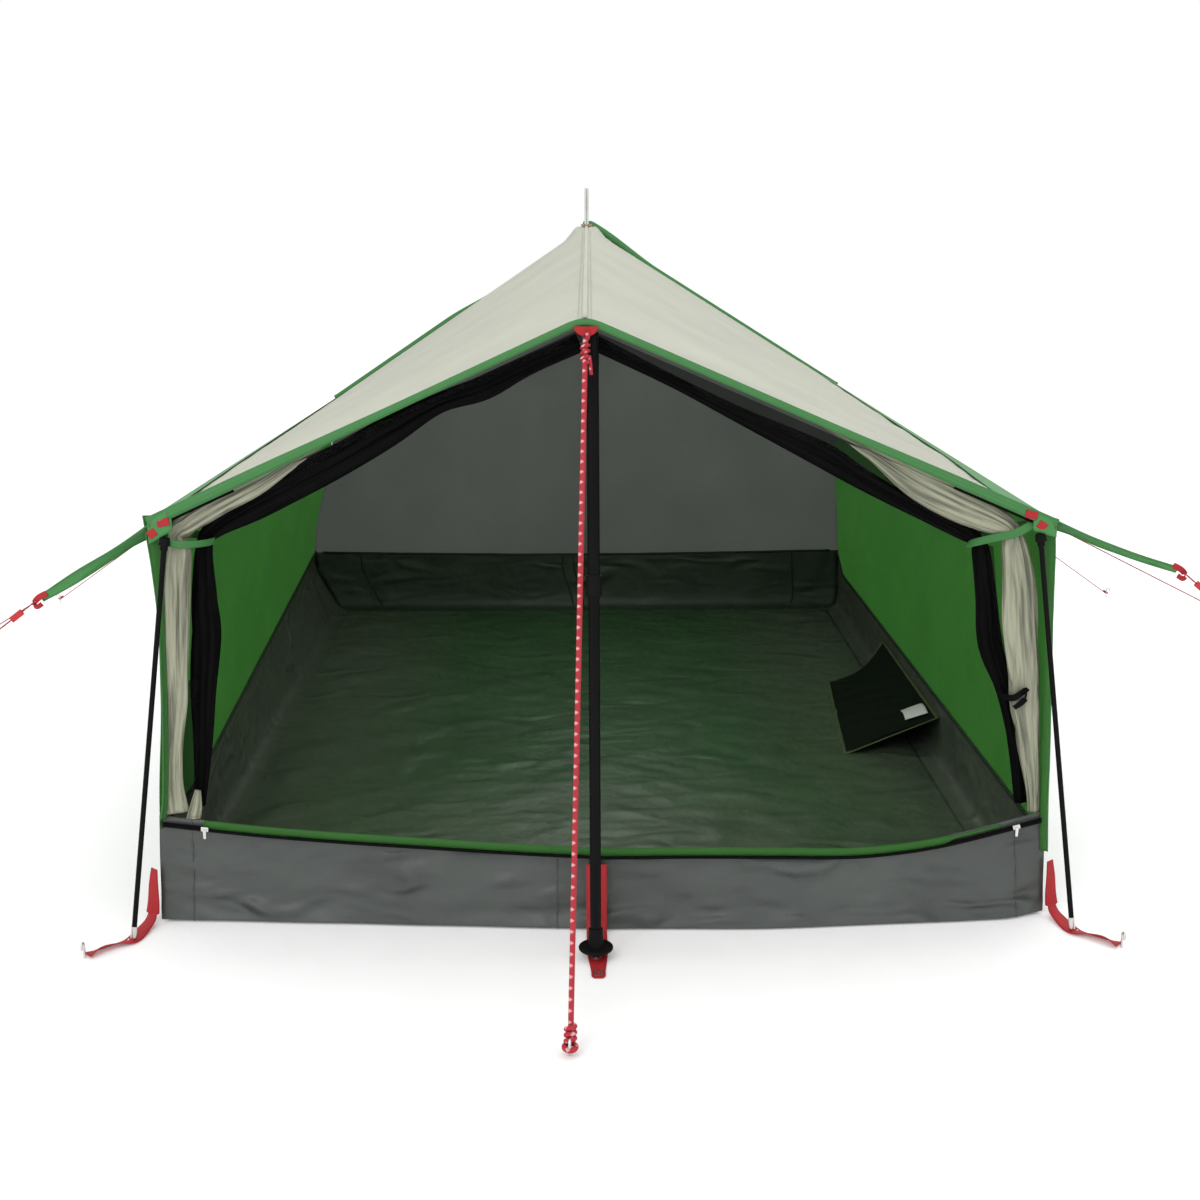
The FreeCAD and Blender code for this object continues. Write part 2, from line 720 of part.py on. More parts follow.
def make_tensioner(side, start, along):
    """A small flat adjuster that slides on a front corner guyline."""
    at, length, width, depth = 30.0, 22.0, 10.0, 6.0
    bore = 2 * (LINE_R + 0.45)
    body = Part.makeBox(width, depth, length, V(-width / 2, -depth / 2, 0))
    body = body.cut(Part.makeBox(bore, bore, length, V(-bore / 2, -bore / 2, 0)))
    body.Placement = FreeCAD.Placement(start + along * at, FreeCAD.Rotation(V(0, 0, 1), along))
    export("tensioner_" + side, body)
    print(side, "tensioner slides along", along)


make_roof()
make_side_walls()
make_groundsheet()
make_rear_wall()
make_front_wall()
make_zipper_sliders()
make_doors()
make_gussets()
make_pocket()
make_guy_tabs()
make_peak_patches()
make_webbing()
make_front_pole()
make_rear_pole()
make_struts()
make_guylines()
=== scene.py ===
"""Looks for the ridge tent: cloth, doors, webbing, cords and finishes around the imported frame.

Metres. The front faces -Y, +X is to the right seen from the front, +Z is up.
"""

from functools import partial
from math import cos, pi, sin

import bpy
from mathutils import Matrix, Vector, noise


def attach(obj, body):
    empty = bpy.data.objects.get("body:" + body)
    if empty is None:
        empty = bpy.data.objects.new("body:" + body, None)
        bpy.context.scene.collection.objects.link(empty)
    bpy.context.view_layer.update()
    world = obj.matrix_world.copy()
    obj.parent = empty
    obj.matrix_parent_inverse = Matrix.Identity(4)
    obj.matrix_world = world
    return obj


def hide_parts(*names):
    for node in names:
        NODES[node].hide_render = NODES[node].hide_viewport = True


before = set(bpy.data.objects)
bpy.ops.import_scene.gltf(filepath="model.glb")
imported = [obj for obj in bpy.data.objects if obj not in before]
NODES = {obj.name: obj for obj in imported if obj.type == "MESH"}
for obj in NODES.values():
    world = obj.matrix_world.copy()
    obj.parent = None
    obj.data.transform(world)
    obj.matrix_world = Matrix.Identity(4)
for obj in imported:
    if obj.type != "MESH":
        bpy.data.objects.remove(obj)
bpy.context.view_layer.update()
TENT = "tent"
scene = bpy.context.scene
SIDES = ((1, "right"), (-1, "left"))


def mm(*rows):
    """Rows of millimetres, in metres."""
    return [tuple(n / 1000 for n in row) for row in rows]


# ---- dimensions

FLOOR_HALF = 0.755
EAVE_HALF = 0.727
HALF_LENGTH = 1.05
ROOF_END = 1.062
RIDGE_FRONT, RIDGE_REAR = 1.017, 1.11
EAVES = {1: (0.688, 0.66), -1: (0.697, 0.624)}  # each side's eave height, front and rear
TUB_TOP = 0.172
SILL = {
    1: mm((0, 145), (150, 140.5), (300, 134), (420, 129.5), (520, 136), (600, 149), (750, 184.5)),
    -1: mm((0, 145), (150, 150), (300, 157), (420, 163), (520, 169), (600, 175), (750, 189.5)),
}
FRONT_BOW = 0.052
PEAK_LEAN = -0.032
STITCH_GAP = 0.011  # from the ridge to the stitches beside it
STUDIO_HALF = 14


def mix(a, b, t):
    return a + (b - a) * t


def spread(a, b, steps):
    """Evenly spaced values from a to b."""
    return [mix(a, b, i / steps) for i in range(steps + 1)]


def arch(t):
    """Up from 0 to 1 and back, as t goes from 0 to 1."""
    return sin(pi * t)


def smooth(t):
    t = min(1.0, max(0.0, t))
    return t * t * (3 - 2 * t)


def ridge_z(y):
    return mix(RIDGE_FRONT, RIDGE_REAR, (y + HALF_LENGTH) / (2 * HALF_LENGTH))


def eave_z(y, side):
    return mix(*EAVES[side], (y + HALF_LENGTH) / (2 * HALF_LENGTH))


def lean_x(y):
    return PEAK_LEAN * (ROOF_END - y) / (2 * ROOF_END)


def roof_z(x, y):
    lean = lean_x(y)
    side = 1 if x > lean else -1
    share = (x - lean) / (side * EAVE_HALF - lean)
    return mix(ridge_z(y), eave_z(y, side), share)


def wall_x(z):
    return FLOOR_HALF - 0.042 * z


def sill_z(x):
    """Height of the top edge of the front bathtub wall."""
    keys, x = SILL[1 if x > 0 else -1], abs(x)
    i = max(k for k in range(len(keys) - 1) if keys[k][0] <= x or k == 0)
    (xa, za), (xb, zb) = keys[i], keys[i + 1]
    t = (x - xa) / (xb - xa)
    rise = [zb - za, zb - za]
    if i > 0:
        rise[0] = (zb - keys[i - 1][1]) / (xb - keys[i - 1][0]) * (xb - xa)
    if i + 2 < len(keys):
        rise[1] = (keys[i + 2][1] - za) / (keys[i + 2][0] - xa) * (xb - xa)
    up = zb - za
    return za + rise[0] * t + (3 * up - 2 * rise[0] - rise[1]) * t**2 + (rise[0] + rise[1] - 2 * up) * t**3


def tub_top(y, side):
    """The seam between side wall and bathtub. The right-hand one sags between the corners."""
    if side < 0:
        return TUB_TOP
    z = mix(0.142, 0.116, (y + HALF_LENGTH) / (2 * HALF_LENGTH))
    return z + (0.165 - z) * smooth((y - 0.93) / 0.12) + (0.176 - z) * smooth((-0.99 - y) / 0.06)


def slack(y, z, side):
    """How far inside its plane a side wall hangs. The left one leans out towards the rear."""
    if side > 0:
        return 0.0
    out = 0.0386 * (y + 0.717) - 0.008
    tuck = 0.007 * smooth((-0.85 - y) / 0.2) * smooth((z - 0.2) / 0.2) * smooth((0.68 - z) / 0.1)
    return tuck - out * smooth((y + HALF_LENGTH) / 0.25) * smooth(z / 0.15) * smooth((0.64 - z) / 0.45)


def front_y(x):
    """The bowed line of the front bathtub wall."""
    return -HALF_LENGTH - FRONT_BOW * (1 - min(1.0, abs(x) / FLOOR_HALF))


def uneven(a, b, c):
    """Smooth noise, about -1 to 1."""
    return noise.noise(Vector((a, b, c)))


def folds(a, b, angle, along, across, seed):
    """Long wrinkles at an angle: -1 to 1, drawn out along one direction."""
    c, s = cos(angle), sin(angle)
    p = Vector(((a * c + b * s) * along, (b * c - a * s) * across, seed))
    return noise.noise(p)


# ---- materials


class Shader:
    """A new material's nodes. The helpers take sockets or plain values and return a socket."""

    def __init__(self, name):
        self.material = bpy.data.materials.new(name)
        self.material.use_nodes = True
        self.nodes = self.material.node_tree.nodes
        self.base = self.nodes["Principled BSDF"]
        coords = self.nodes.new("ShaderNodeTexCoord").outputs
        self.uv, self.place = coords["UV"], coords["Object"]

    def join(self, value, socket):
        if isinstance(value, bpy.types.NodeSocket):
            self.material.node_tree.links.new(value, socket)
        else:
            socket.default_value = (*value, 1.0) if socket.type == "RGBA" else value

    def put(self, node, **values):
        """Sets a node's inputs. An underscore stands for the space in an input's name."""
        for word, value in values.items():
            self.join(value, node.inputs[word.replace("_", " ")])
        return node

    def add(self, kind, setting=None, choice=None):
        node = self.nodes.new("ShaderNode" + kind)
        if setting:
            setattr(node, setting, choice)
        return node

    def noise(self, source, scale, detail=4.0):
        return self.put(self.add("TexNoise"), Vector=source, Scale=scale, Detail=detail).outputs["Fac"]

    def ramp(self, source, low, high, a, b):
        """Maps a value from low..high to a..b."""
        node = self.put(self.add("MapRange"), Value=source, From_Min=low, From_Max=high, To_Min=a, To_Max=b)
        return node.outputs["Result"]

    def calc(self, operation, a, b=0.0):
        node = self.add("Math", "operation", operation)
        self.join(a, node.inputs[0])
        self.join(b, node.inputs[1])
        return node.outputs["Value"]

    def stretch(self, source, scale):
        return self.put(self.add("Mapping"), Vector=source, Scale=scale).outputs["Vector"]

    def wave(self, period, axis):
        node = self.add("TexWave", "bands_direction", axis)
        return self.put(node, Vector=self.uv, Scale=pi / 10 / period).outputs["Fac"]

    def mix(self, factor, a, b):
        """Mixes two colours."""
        return self.put(self.add("Mix", "data_type", "RGBA"), Factor=factor, A=a, B=b).outputs["Result"]

    def bump(self, height, distance, strength, below=None):
        node = self.put(self.add("Bump"), Height=height, Distance=distance, Strength=strength)
        if below is not None:
            self.join(below, node.inputs["Normal"])
        return node.outputs["Normal"]


def shade(colour, k):
    return tuple(min(1.0, c * k) for c in colour)


def make_cloth(name, colour, rough=0.6, thread=0.0014, weave=0.3, crumple=0.35, vary=0.08, glow=0.0,
        alpha=1.0,
               creases=0.0, gathers_and_painted_shade=0.0, rim=None):
    """Woven cloth: threads, small creases and uneven colour.

    glow lets light through, creases are sharp folds any way with painted light and shade along them,
    gathers are folds along v with painted shade in their grooves,
    and rim is a paler colour towards the sides and the front, painted light for sheen and doorway light.
    """
    s = Shader(name)
    threads = s.calc("MULTIPLY", s.wave(thread, "X"), s.wave(thread, "Y"))
    fine, broad = s.noise(s.place, 45.0, 6.0), s.noise(s.place, 5.0, 5.0)
    normal = s.bump(fine, 0.004, crumple)
    tint = s.mix(s.ramp(broad, 0.3, 0.7, 0, 1), shade(colour, 1 - vary), shade(colour, 1 + vary))
    if creases:
        sharp = s.put(
            s.add("TexNoise", "noise_type", "RIDGED_MULTIFRACTAL"),
            Vector=s.stretch(s.place, (0.7, 1.0, 2.0)), Scale=9.0, Detail=3.0, Distortion=0.8,
        ).outputs["Fac"]
        normal = s.bump(sharp, 0.03, creases, normal)
        # Painted light and shade along the creases: darker in the hollows, lighter on the ridges.
        tone_and_painted_light = s.calc("ADD", s.ramp(sharp, 0.2, 1.5, -0.3 * creases, 0.35 * creases), 1.0)
        scaled = s.put(s.add("VectorMath", "operation", "SCALE"), Scale=tone_and_painted_light)
        s.join(tint, scaled.inputs[0])
        tint = scaled.outputs["Vector"]
    if gathers_and_painted_shade:
        pleats = s.noise(s.stretch(s.uv, (150.0, 4.5, 1.0)), 1.0, 3.0)
        normal = s.bump(pleats, 0.014, 0.8, normal)
        # Painted shade: the colour darkens in the grooves of the gathers.
        tint = s.mix(s.ramp(pleats, 0.38, 0.55, gathers_and_painted_shade, 0), tint, shade(colour, 0.25))
    # Painted light: the colour turns paler towards the sides and the front, standing in for the floor's sheen
    # and the light from the doorway.
    if rim:
        split = s.put(s.add("SeparateXYZ"), Vector=s.place).outputs
        aside = s.ramp(s.calc("ABSOLUTE", split["X"]), 0.32, 0.62, 0, 1)
        ahead = s.ramp(split["Y"], -0.3, -1.0, 0, 1)
        tint = s.mix(s.calc("MAXIMUM", aside, ahead), tint, rim)
    tint = s.mix(s.calc("MULTIPLY", threads, 0.25), tint, shade(colour, 0.8))
    roughness = s.ramp(fine, 0.3, 0.7, rough - 0.06, rough + 0.06)
    s.put(s.base, Normal=s.bump(threads, 0.0004, weave, normal), Base_Color=tint, Roughness=roughness,
        Alpha=alpha)
    if glow:
        # The light goes through both faces of the cloth.
        stained = s.put(s.add("Gamma"), Color=tint, Gamma=0.5)
        through = s.put(s.add("BsdfTranslucent"), Color=stained.outputs["Color"])
        blend = s.put(s.add("MixShader"), Fac=glow)
        s.join(s.base.outputs["BSDF"], blend.inputs[1])
        s.join(through.outputs["BSDF"], blend.inputs[2])
        s.put(s.nodes["Material Output"], Surface=blend.outputs["Shader"])
    return s.material


def make_webbing(name, colour, ribs=0.0022):
    """Heavy ribbed tape."""
    s = Shader(name)
    weave = s.calc("MULTIPLY", s.wave(ribs, "Y"), s.wave(ribs * 1.6, "X"))
    tone_and_painted_light = s.ramp(s.noise(s.place, 30.0), 0.3, 0.7, 0, 1)
    tint = s.mix(weave, shade(colour, 0.7), s.mix(tone_and_painted_light, shade(colour, 0.85), shade(colour, 1.12)))
    s.put(s.base, Normal=s.bump(weave, 0.0007, 0.6), Base_Color=tint, Roughness=0.7)
    return s.material


def make_solid(name, colour, rough, metallic=0.0, grain=220.0, depth=0.0002, vary=0.12):
    """Metal, moulded plastic or foam, with a fine grain and slight wear."""
    s = Shader(name)
    broad = s.noise(s.place, 14.0)
    tint = s.mix(s.ramp(broad, 0.35, 0.65, 0, 1), shade(colour, 1 - vary), shade(colour, 1 + vary))
    roughness = s.ramp(broad, 0.3, 0.7, rough - 0.05, rough + 0.05)
    s.put(s.base, Normal=s.bump(s.noise(s.place, grain, 6.0), depth, 0.4), Base_Color=tint,
        Roughness=roughness)
    s.put(s.base, Metallic=metallic)
    return s.material


def make_rope(name, base, fleck, period):
    """Braided cord: a coloured sheath with light flecks that run both ways round it."""
    s = Shader(name)
    split = s.put(s.add("SeparateXYZ"), Vector=s.uv).outputs
    run = s.calc("DIVIDE", split["Y"], period)
    phases = [s.calc("ADD", run, s.calc("MULTIPLY", split["X"], sign)) for sign in (1.0, -1.0)]
    marks = [s.ramp(s.calc("SINE", s.calc("MULTIPLY", p, 2 * pi)), 0.1, 0.65, 0, 1) for p in phases]
    waves = [s.calc("SINE", s.calc("MULTIPLY", p, 2 * pi * 6)) for p in phases]
    tone_and_painted_light = s.ramp(s.calc("MULTIPLY", *waves), -1, 1, 0, 1)
    sheath = s.mix(tone_and_painted_light, shade(base, 0.65), shade(base, 1.15))
    tint = s.mix(s.calc("MULTIPLY", *marks), sheath, fleck)
    s.put(s.base, Normal=s.bump(tone_and_painted_light, 0.0006, 0.7), Base_Color=tint, Roughness=0.75)
    return s.material


# A look is a material and the name of its slot.
CREAM = make_cloth("cream_polyester", (0.595, 0.605, 0.515), rough=0.55, crumple=0.18, vary=0.05,
    glow=0.38), "roof_cream"
GREEN = make_cloth("green_polyester", (0.052, 0.215, 0.036), rough=0.5, crumple=0.22, glow=0.58), "wall_green"
TRIM = make_webbing("green_tape", (0.055, 0.24, 0.06), 0.0018), "trim_green"
# The crumpled front bathtub wall carries painted light and shade along its creases.
TUB = make_cloth("grey_coated", (0.08, 0.091, 0.084), rough=0.42, crumple=0.5, vary=0.2,
    creases=1.0), "tub_grey"
# The side bathtub walls are the same grey coated cloth painted greener: painted green light from the walls,
# matched to the floor's painted rim.
TUB_SIDES_GREEN_LIT = make_cloth("grey_coated_sides_green_lit", (0.08, 0.102, 0.073), rough=0.45, crumple=0.4, vary=0.12,
    creases=0.4), "tub_grey"
# The rear bathtub wall is the same grey coated cloth, painted darker as painted shade at the back of the
# tent.
TUB_REAR_SHADED = make_cloth("grey_coated_rear_shaded", (0.03, 0.05, 0.031), rough=0.5, crumple=0.4, vary=0.15,
    creases=0.4), "tub_grey"
# The floor's rim colour is painted light: paler towards the sides and the front for sheen and doorway light.
FLOOR = make_cloth("floor_coated", (0.034, 0.098, 0.033), rough=0.36, crumple=0.55, vary=0.2, creases=0.5,
    rim=(0.078, 0.1, 0.07)), "floor_green"
# Its gathers paint shade into the roll's fold grooves.
MESH_ROLL = make_cloth("mesh_gathered", (0.004, 0.004, 0.0042), rough=0.92, thread=0.002, weave=0.6,
    crumple=0.6, gathers_and_painted_shade=1.0), "mesh_black"
MESH_NET = make_cloth("mesh_single", (0.006, 0.006, 0.006), rough=0.9, thread=0.002, weave=0.5,
    alpha=0.72), "mesh_black"
REAR = make_cloth("rear_mesh", (0.125, 0.138, 0.125), rough=0.75, thread=0.002, weave=0.4,
    glow=0.63), "mesh_black"
POCKET = make_cloth("pocket_cloth", (0.006, 0.011, 0.006), rough=0.85, thread=0.002, weave=0.6), "mesh_black"
POCKET_EDGE = make_webbing("pocket_tape", (0.085, 0.12, 0.035), 0.0018), "trim_green"
RED_WEB = make_webbing("red_webbing", (0.5, 0.008, 0.014)), "webbing_red"
ZIP = make_webbing("zip_coil", (0.004, 0.004, 0.004), 0.0016), "zip_black"
ALLOY_BLACK = make_solid("black_alloy", (0.004, 0.004, 0.004), 0.45, vary=0.2)
PLASTIC_BLACK = make_solid("black_plastic", (0.005, 0.005, 0.005), 0.55, depth=0.0003)
FOAM = make_solid("foam_grip", (0.02, 0.02, 0.02), 0.9, grain=420.0, depth=0.0008)
STEEL = make_solid("plated_steel", (0.66, 0.66, 0.64), 0.3, metallic=1.0)
BRASS = make_solid("aged_brass", (0.3, 0.22, 0.12), 0.45, metallic=1.0)
PLASTIC_RED = make_solid("red_plastic", (0.46, 0.012, 0.014), 0.4)
ROPE = make_rope("front_rope_braid", (0.46, 0.02, 0.035), (0.72, 0.36, 0.38), 0.016), "rope_red"
LINE = make_rope("guyline_braid", (0.34, 0.014, 0.022), (0.55, 0.3, 0.3), 0.01), "line_red"
# The outer doors are the roof's cream cloth painted darker as painted shade, with more painted shade in the
# grooves of their gathers.
CREAM_DOOR_SHADED = make_cloth("cream_door_shaded", (0.4, 0.41, 0.295), crumple=0.2, glow=0.12,
    gathers_and_painted_shade=0.9), "roof_cream"
GREEN_TRIM = make_cloth("green_band", (0.055, 0.24, 0.06), rough=0.55, crumple=0.2, glow=0.1), "trim_green"
DARK_SEAM = make_webbing("dark_tape", (0.012, 0.028, 0.012), 0.0018), "tub_grey"
LABEL = make_cloth("plain_label", (0.75, 0.75, 0.73), crumple=0.1), "roof_cream"
for dark in (MESH_ROLL[0], MESH_NET[0], POCKET[0], ALLOY_BLACK, PLASTIC_BLACK, ZIP[0]):
    dark.node_tree.nodes["Principled BSDF"].inputs["Specular IOR Level"].default_value = 0.08


# ---- builders


def add_object(name, data):
    piece = bpy.data.objects.new(name, data)
    scene.collection.objects.link(piece)
    return piece


def link(name, mesh, look, replaces=(), body=TENT):
    """A piece with a look's material, riding a body."""
    piece = add_object(name, mesh)
    mesh.materials.append(look[0])
    for face in mesh.polygons:
        face.use_smooth = True
    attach(piece, body)
    if replaces:
        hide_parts(*replaces)
    return piece


def new_mesh(name, verts, faces, uvs):
    mesh = bpy.data.meshes.new(name)
    mesh.from_pydata([tuple(v) for v in verts], [], faces)
    for data, uv in zip(mesh.uv_layers.new(name="UVMap").data, uvs):
        data.uv = uv
    mesh.update()
    return mesh


def grid_mesh(name, point, across, along, size):
    """A mesh of point(u, v), with metric UVs."""
    row = across + 1
    faces, uvs = [], []
    for j in range(along):
        for i in range(across):
            first = j * row + i
            faces.append((first, first + 1, first + row + 1, first + row))
            for u, v in ((i, j), (i + 1, j), (i + 1, j + 1), (i, j + 1)):
                uvs.append((u / across * size[0], v / along * size[1]))
    verts = [point(i / across, j / along) for j in range(along + 1) for i in range(row)]
    return new_mesh(name, verts, faces, uvs)


def cloth(name, point, grid, size, look, replaces=(), body=TENT, thick=0.0008):
    piece = link(name, grid_mesh(name, point, *grid, size), look, replaces, body)
    if thick:
        solid = piece.modifiers.new("thickness", "SOLIDIFY")
        solid.thickness = thick
        solid.offset = 0.0
    return piece


def catmull(keys, t):
    """A smooth value through evenly spaced keys, each a tuple of numbers."""
    n = len(keys) - 1
    f = min(max(t, 0.0), 1.0) * n
    i = min(int(f), n - 1)
    f -= i
    p = [keys[min(max(i + k, 0), n)] for k in (-1, 0, 1, 2)]
    out = []
    for a, b, c, d in zip(*p):
        out.append(
            0.5 * (2 * b + (c - a) * f + (2 * a - 5 * b + 4 * c - d) * f * f + (3 * b - a - 3 * c + d) * f**3)
        )
    return tuple(out)


def rings_mesh(name, points, rings, step):
    """A closed skin over rings round the points: u grows by step per corner, v is the length."""
    count = len(rings[0])
    lengths, faces, uvs = [0.0], [], []
    for i in range(len(points) - 1):
        lengths.append(lengths[i] + (points[i + 1] - points[i]).length)
        for k in range(count):
            a, b = i * count + k, i * count + (k + 1) % count
            faces.append((a, b, b + count, a + count))
            uvs += [(k * step, lengths[i]), ((k + 1) * step, lengths[i])]
            uvs += [((k + 1) * step, lengths[i + 1]), (k * step, lengths[i + 1])]
    last = count * (len(points) - 1)
    faces += [tuple(reversed(range(count))), tuple(range(last, last + count))]
    uvs += [(0, 0)] * (2 * count)
    return new_mesh(name, [v for ring in rings for v in ring], faces, uvs)


def heading(points, i):
    """The direction of the path at its point i."""
    return (points[min(i + 1, len(points) - 1)] - points[max(i - 1, 0)]).normalized()


def sweep(name, path, section, look, replaces=(), body=TENT, up=(0, 0, 1), tall=None):
    """A closed section of (out, up) offsets carried along a path of points. tall scales the height."""
    points, rings = [Vector(p) for p in path], []
    for i, p in enumerate(points):
        ahead = heading(points, i)
        side = ahead.cross(Vector(up)).normalized()
        over = side.cross(ahead).normalized()
        grow = tall(i / (len(points) - 1)) if tall else 1.0
        rings.append([p + side * a + over * b * grow for a, b in section])
    return link(name, rings_mesh(name, points, rings, 0.004), look, replaces, body)


def round_section(radius, count=14, squash=1.0):
    step = 2 * pi / count
    return [(radius * cos(k * step), radius * squash * sin(k * step)) for k in range(count)]


def tube(name, path, radius, look, replaces=(), sides=16):
    """A round tube along a path, with u once round."""
    points, rings = [Vector(p) for p in path], []
    across = (points[1] - points[0]).orthogonal().normalized()
    for i, p in enumerate(points):
        ahead = heading(points, i)
        across = (across - ahead * across.dot(ahead)).normalized()
        over = ahead.cross(across)
        rings.append([p + (across * a + over * b) * radius for a, b in round_section(1.0, sides)])
    return link(name, rings_mesh(name, points, rings, 1 / sides), look, replaces)


def ribbon(name, keys, look, replaces=(), steps=40, thick=0.0016):
    """A flat strap through keys of (x, y, z, width, angle), angle 0 lying flat."""

    def point(u, v):
        x, y, z, width, angle = catmull(keys, v)
        a, b = catmull(keys, max(0, v - 0.02)), catmull(keys, min(1, v + 0.02))
        ahead = (Vector(b[:3]) - Vector(a[:3])).normalized()
        reference = Vector((0, 0, 1)) if abs(ahead.z) < 0.9 else Vector((0, -1, 0))
        flat = ahead.cross(reference).normalized()
        side = flat * cos(angle) + flat.cross(ahead) * sin(angle)
        return Vector((x, y, z)) + side * (u - 0.5) * width

    marks = [Vector(catmull(keys, i / 40)[:3]) for i in range(41)]
    length = sum((b - a).length for a, b in zip(marks, marks[1:]))
    return cloth(name, point, (6, steps), (keys[0][3], length), look, replaces, thick=thick)


# ---- camera and light

camera = add_object("camera", bpy.data.cameras.new("camera"))
camera.location = (-0.063, -3.548, 1.204)
CAMERA_PITCH, CAMERA_YAW = 0.252, 0.022
camera.rotation_euler = (pi / 2 - CAMERA_PITCH, 0.0, -CAMERA_YAW)
camera.data.sensor_width = 36.0
camera.data.lens = 47.49
scene.camera = camera
scene.view_settings.view_transform = "Standard"

world = bpy.data.worlds.new("studio")
scene.world = world
world.use_nodes = True
sky = world.node_tree.nodes["Background"].inputs
sky["Color"].default_value = (1.0, 1.0, 1.0, 1.0)
sky["Strength"].default_value = 1.0


def add_light(name, place, target, size, power):
    data = bpy.data.lights.new(name, "AREA")
    data.shape = "RECTANGLE"
    data.size, data.size_y = size
    data.energy = power
    lamp = add_object(name, data)
    lamp.location = place
    lamp.visible_camera = False
    lamp.rotation_euler = (Vector(target) - Vector(place)).to_track_quat("-Z", "Y").to_euler()


add_light("key", (-1.8, -4.2, 3.6), (0, 0, 0.4), (2.5, 2.5), 60)
add_light("top", (0.8, 0.6, 4.2), (0, 0, 0.5), (3.0, 3.0), 60)
add_light("inside", (0.0, 0.1, 0.82), (0, 0.1, 0.0), (0.4, 1.5), 3.0)


def ground_point(u, v):
    return (2 * u - 1) * STUDIO_HALF, (2 * v - 1) * STUDIO_HALF, 0.0


ground = add_object("ground", grid_mesh("ground", ground_point, 2, 2, (2 * STUDIO_HALF, 2 * STUDIO_HALF)))
PALE = make_solid("pale_floor", (0.9, 0.9, 0.9), 0.8, grain=30.0, depth=0.0001, vary=0.01)
glowing = PALE.node_tree.nodes["Principled BSDF"].inputs
glowing["Emission Color"].default_value = (1.0, 1.0, 1.0, 1.0)
glowing["Emission Strength"].default_value = 0.12
ground.data.materials.append(PALE)

# ---- cords

LINE_D, ROPE_D = 0.0025, 0.0084


def cord_points(start, end, diameter):
    """A taut line: its two ends and a point six diameters in from each."""
    start, end = Vector(start), Vector(end)
    inset = (end - start).normalized() * 6 * diameter
    return [start, start + inset, end - inset, end]


def route(name, points):
    """The route's NURBS line, read back as close points."""
    data = bpy.data.curves.new(name, "CURVE")
    data.dimensions = "3D"
    data.resolution_u = 24
    spline = data.splines.new("NURBS")
    spline.points.add(len(points) - 1)
    for target, p in zip(spline.points, points):
        target.co = (*p, 1.0)
    spline.order_u = 3
    spline.use_endpoint_u = True
    holder = bpy.data.objects.new(name, data)
    line = bpy.data.meshes.new_from_object(holder)
    found = [v.co.copy() for v in line.vertices]
    bpy.data.objects.remove(holder)
    bpy.data.curves.remove(data)
    bpy.data.meshes.remove(line)
    return found


def helix(first, rise, side, over, turns, radius, steps):
    """Points that wind round a line from first, over a rise."""
    points = []
    for i in range(steps + 1):
        angle = 2 * pi * turns * i / steps
        points.append(first + rise * i / steps + (side * cos(angle) + over * sin(angle)) * radius)
    return points


def peg_loop(name, at, radius, toward, look):
    """The eye at a cord's end: round the peg's shank, and a stopper knot beside it."""
    along = (Vector(toward) - Vector(at)).normalized()
    points = []
    eye = 0.004 + radius
    for i in range(33):
        angle = 2 * pi * i / 32
        points.append(Vector(at) + Vector((cos(angle), sin(angle), 0.0012 / eye * sin(angle))) * eye)
    ring = tube(name, points, radius, look, sides=10)
    knot_at = Vector(at) + along * (eye + 2.2 * radius)
    side = along.orthogonal().normalized()
    coil = helix(knot_at - along * 3 * radius, along * 6 * radius, side, along.cross(side), 3,
        1.5 * radius, 60)
    return [ring, tube(name + "_knot", coil, radius * 0.9, look, sides=10)]


def add_cord(name, start, end, peg_at, diameter, look):
    line = route(name + "_route", cord_points(start, end, diameter))
    piece = tube(name + "_cord", line, diameter / 2, look, (name,), sides=14)
    pieces = peg_loop(name + "_eye", peg_at, diameter / 2, start, look)


def top_knot(name, start, toward, radius):
    """A knot just under the cord's upper end, with the cut end left hanging."""
    along = (Vector(toward) - Vector(start)).normalized()
    side = Vector((1, 0, 0))
    first = Vector(start) + along * 0.01
    coil = helix(first, along * 7 * radius, side, along.cross(side), 3.2, 1.3 * radius, 70)
    root = first + along * 4 * radius + side * 1.5 * radius
    drop, hang = [], []
    for t in (i / 12 for i in range(13)):
        drop.append(root + Vector((0.003 * t, -0.004 * t, -0.03 * t + 0.004 * sin(3 * t))))
    for t in (i / 10 for i in range(11)):
        hang.append(Vector(start) + Vector((0.004 * sin(2.6 * t), 0.001, 0.014 * t - 0.003)))
    parts = (("_hang", hang, 0.85), ("_knot_top", coil, 0.62), ("_tail", drop, 0.7))
    return [tube(name + word, path, radius * share, ROPE, sides=10) for word, path, share in parts]


LINES = (  # where each one leaves the tent, its far end and its peg
    ("corner_right", (0.939, -1.066, 0.607), (1.65517, -1.12957, 0.014), (1.66, -1.13, 0.014)),
    ("corner_left", (-0.914, -1.066, 0.569), (-1.65517, -1.12959, 0.014), (-1.66, -1.13, 0.014)),
    ("rear_right", (0.7598, 1.048, 0.602), (1.59017, 1.12953, 0.014), (1.595, 1.13, 0.014)),
    ("rear_left", (-0.7598, 1.048, 0.602), (-1.59017, 1.12953, 0.014), (-1.595, 1.13, 0.014)),
    ("side_right", (0.75946, 0.0, 0.61), (1.95015, 0.0, 0.014), (1.955, 0.0, 0.014)),
    ("side_left", (-0.75946, 0.0, 0.61), (-1.74516, -0.04976, 0.014), (-1.75, -0.05, 0.014)),
)
for name, start, end, peg_at in LINES:
    add_cord("guyline_" + name, start, end, peg_at, LINE_D, LINE)
ROPE_START, ROPE_END = (-0.031, -1.072, 0.984), (-0.06046, -1.49522, 0.014)
knot = top_knot("guyline_front_rope", ROPE_START, ROPE_END, ROPE_D / 2)
add_cord("guyline_front_rope", ROPE_START, ROPE_END, (-0.061, -1.503, 0.014), ROPE_D, ROPE)

# ---- roof

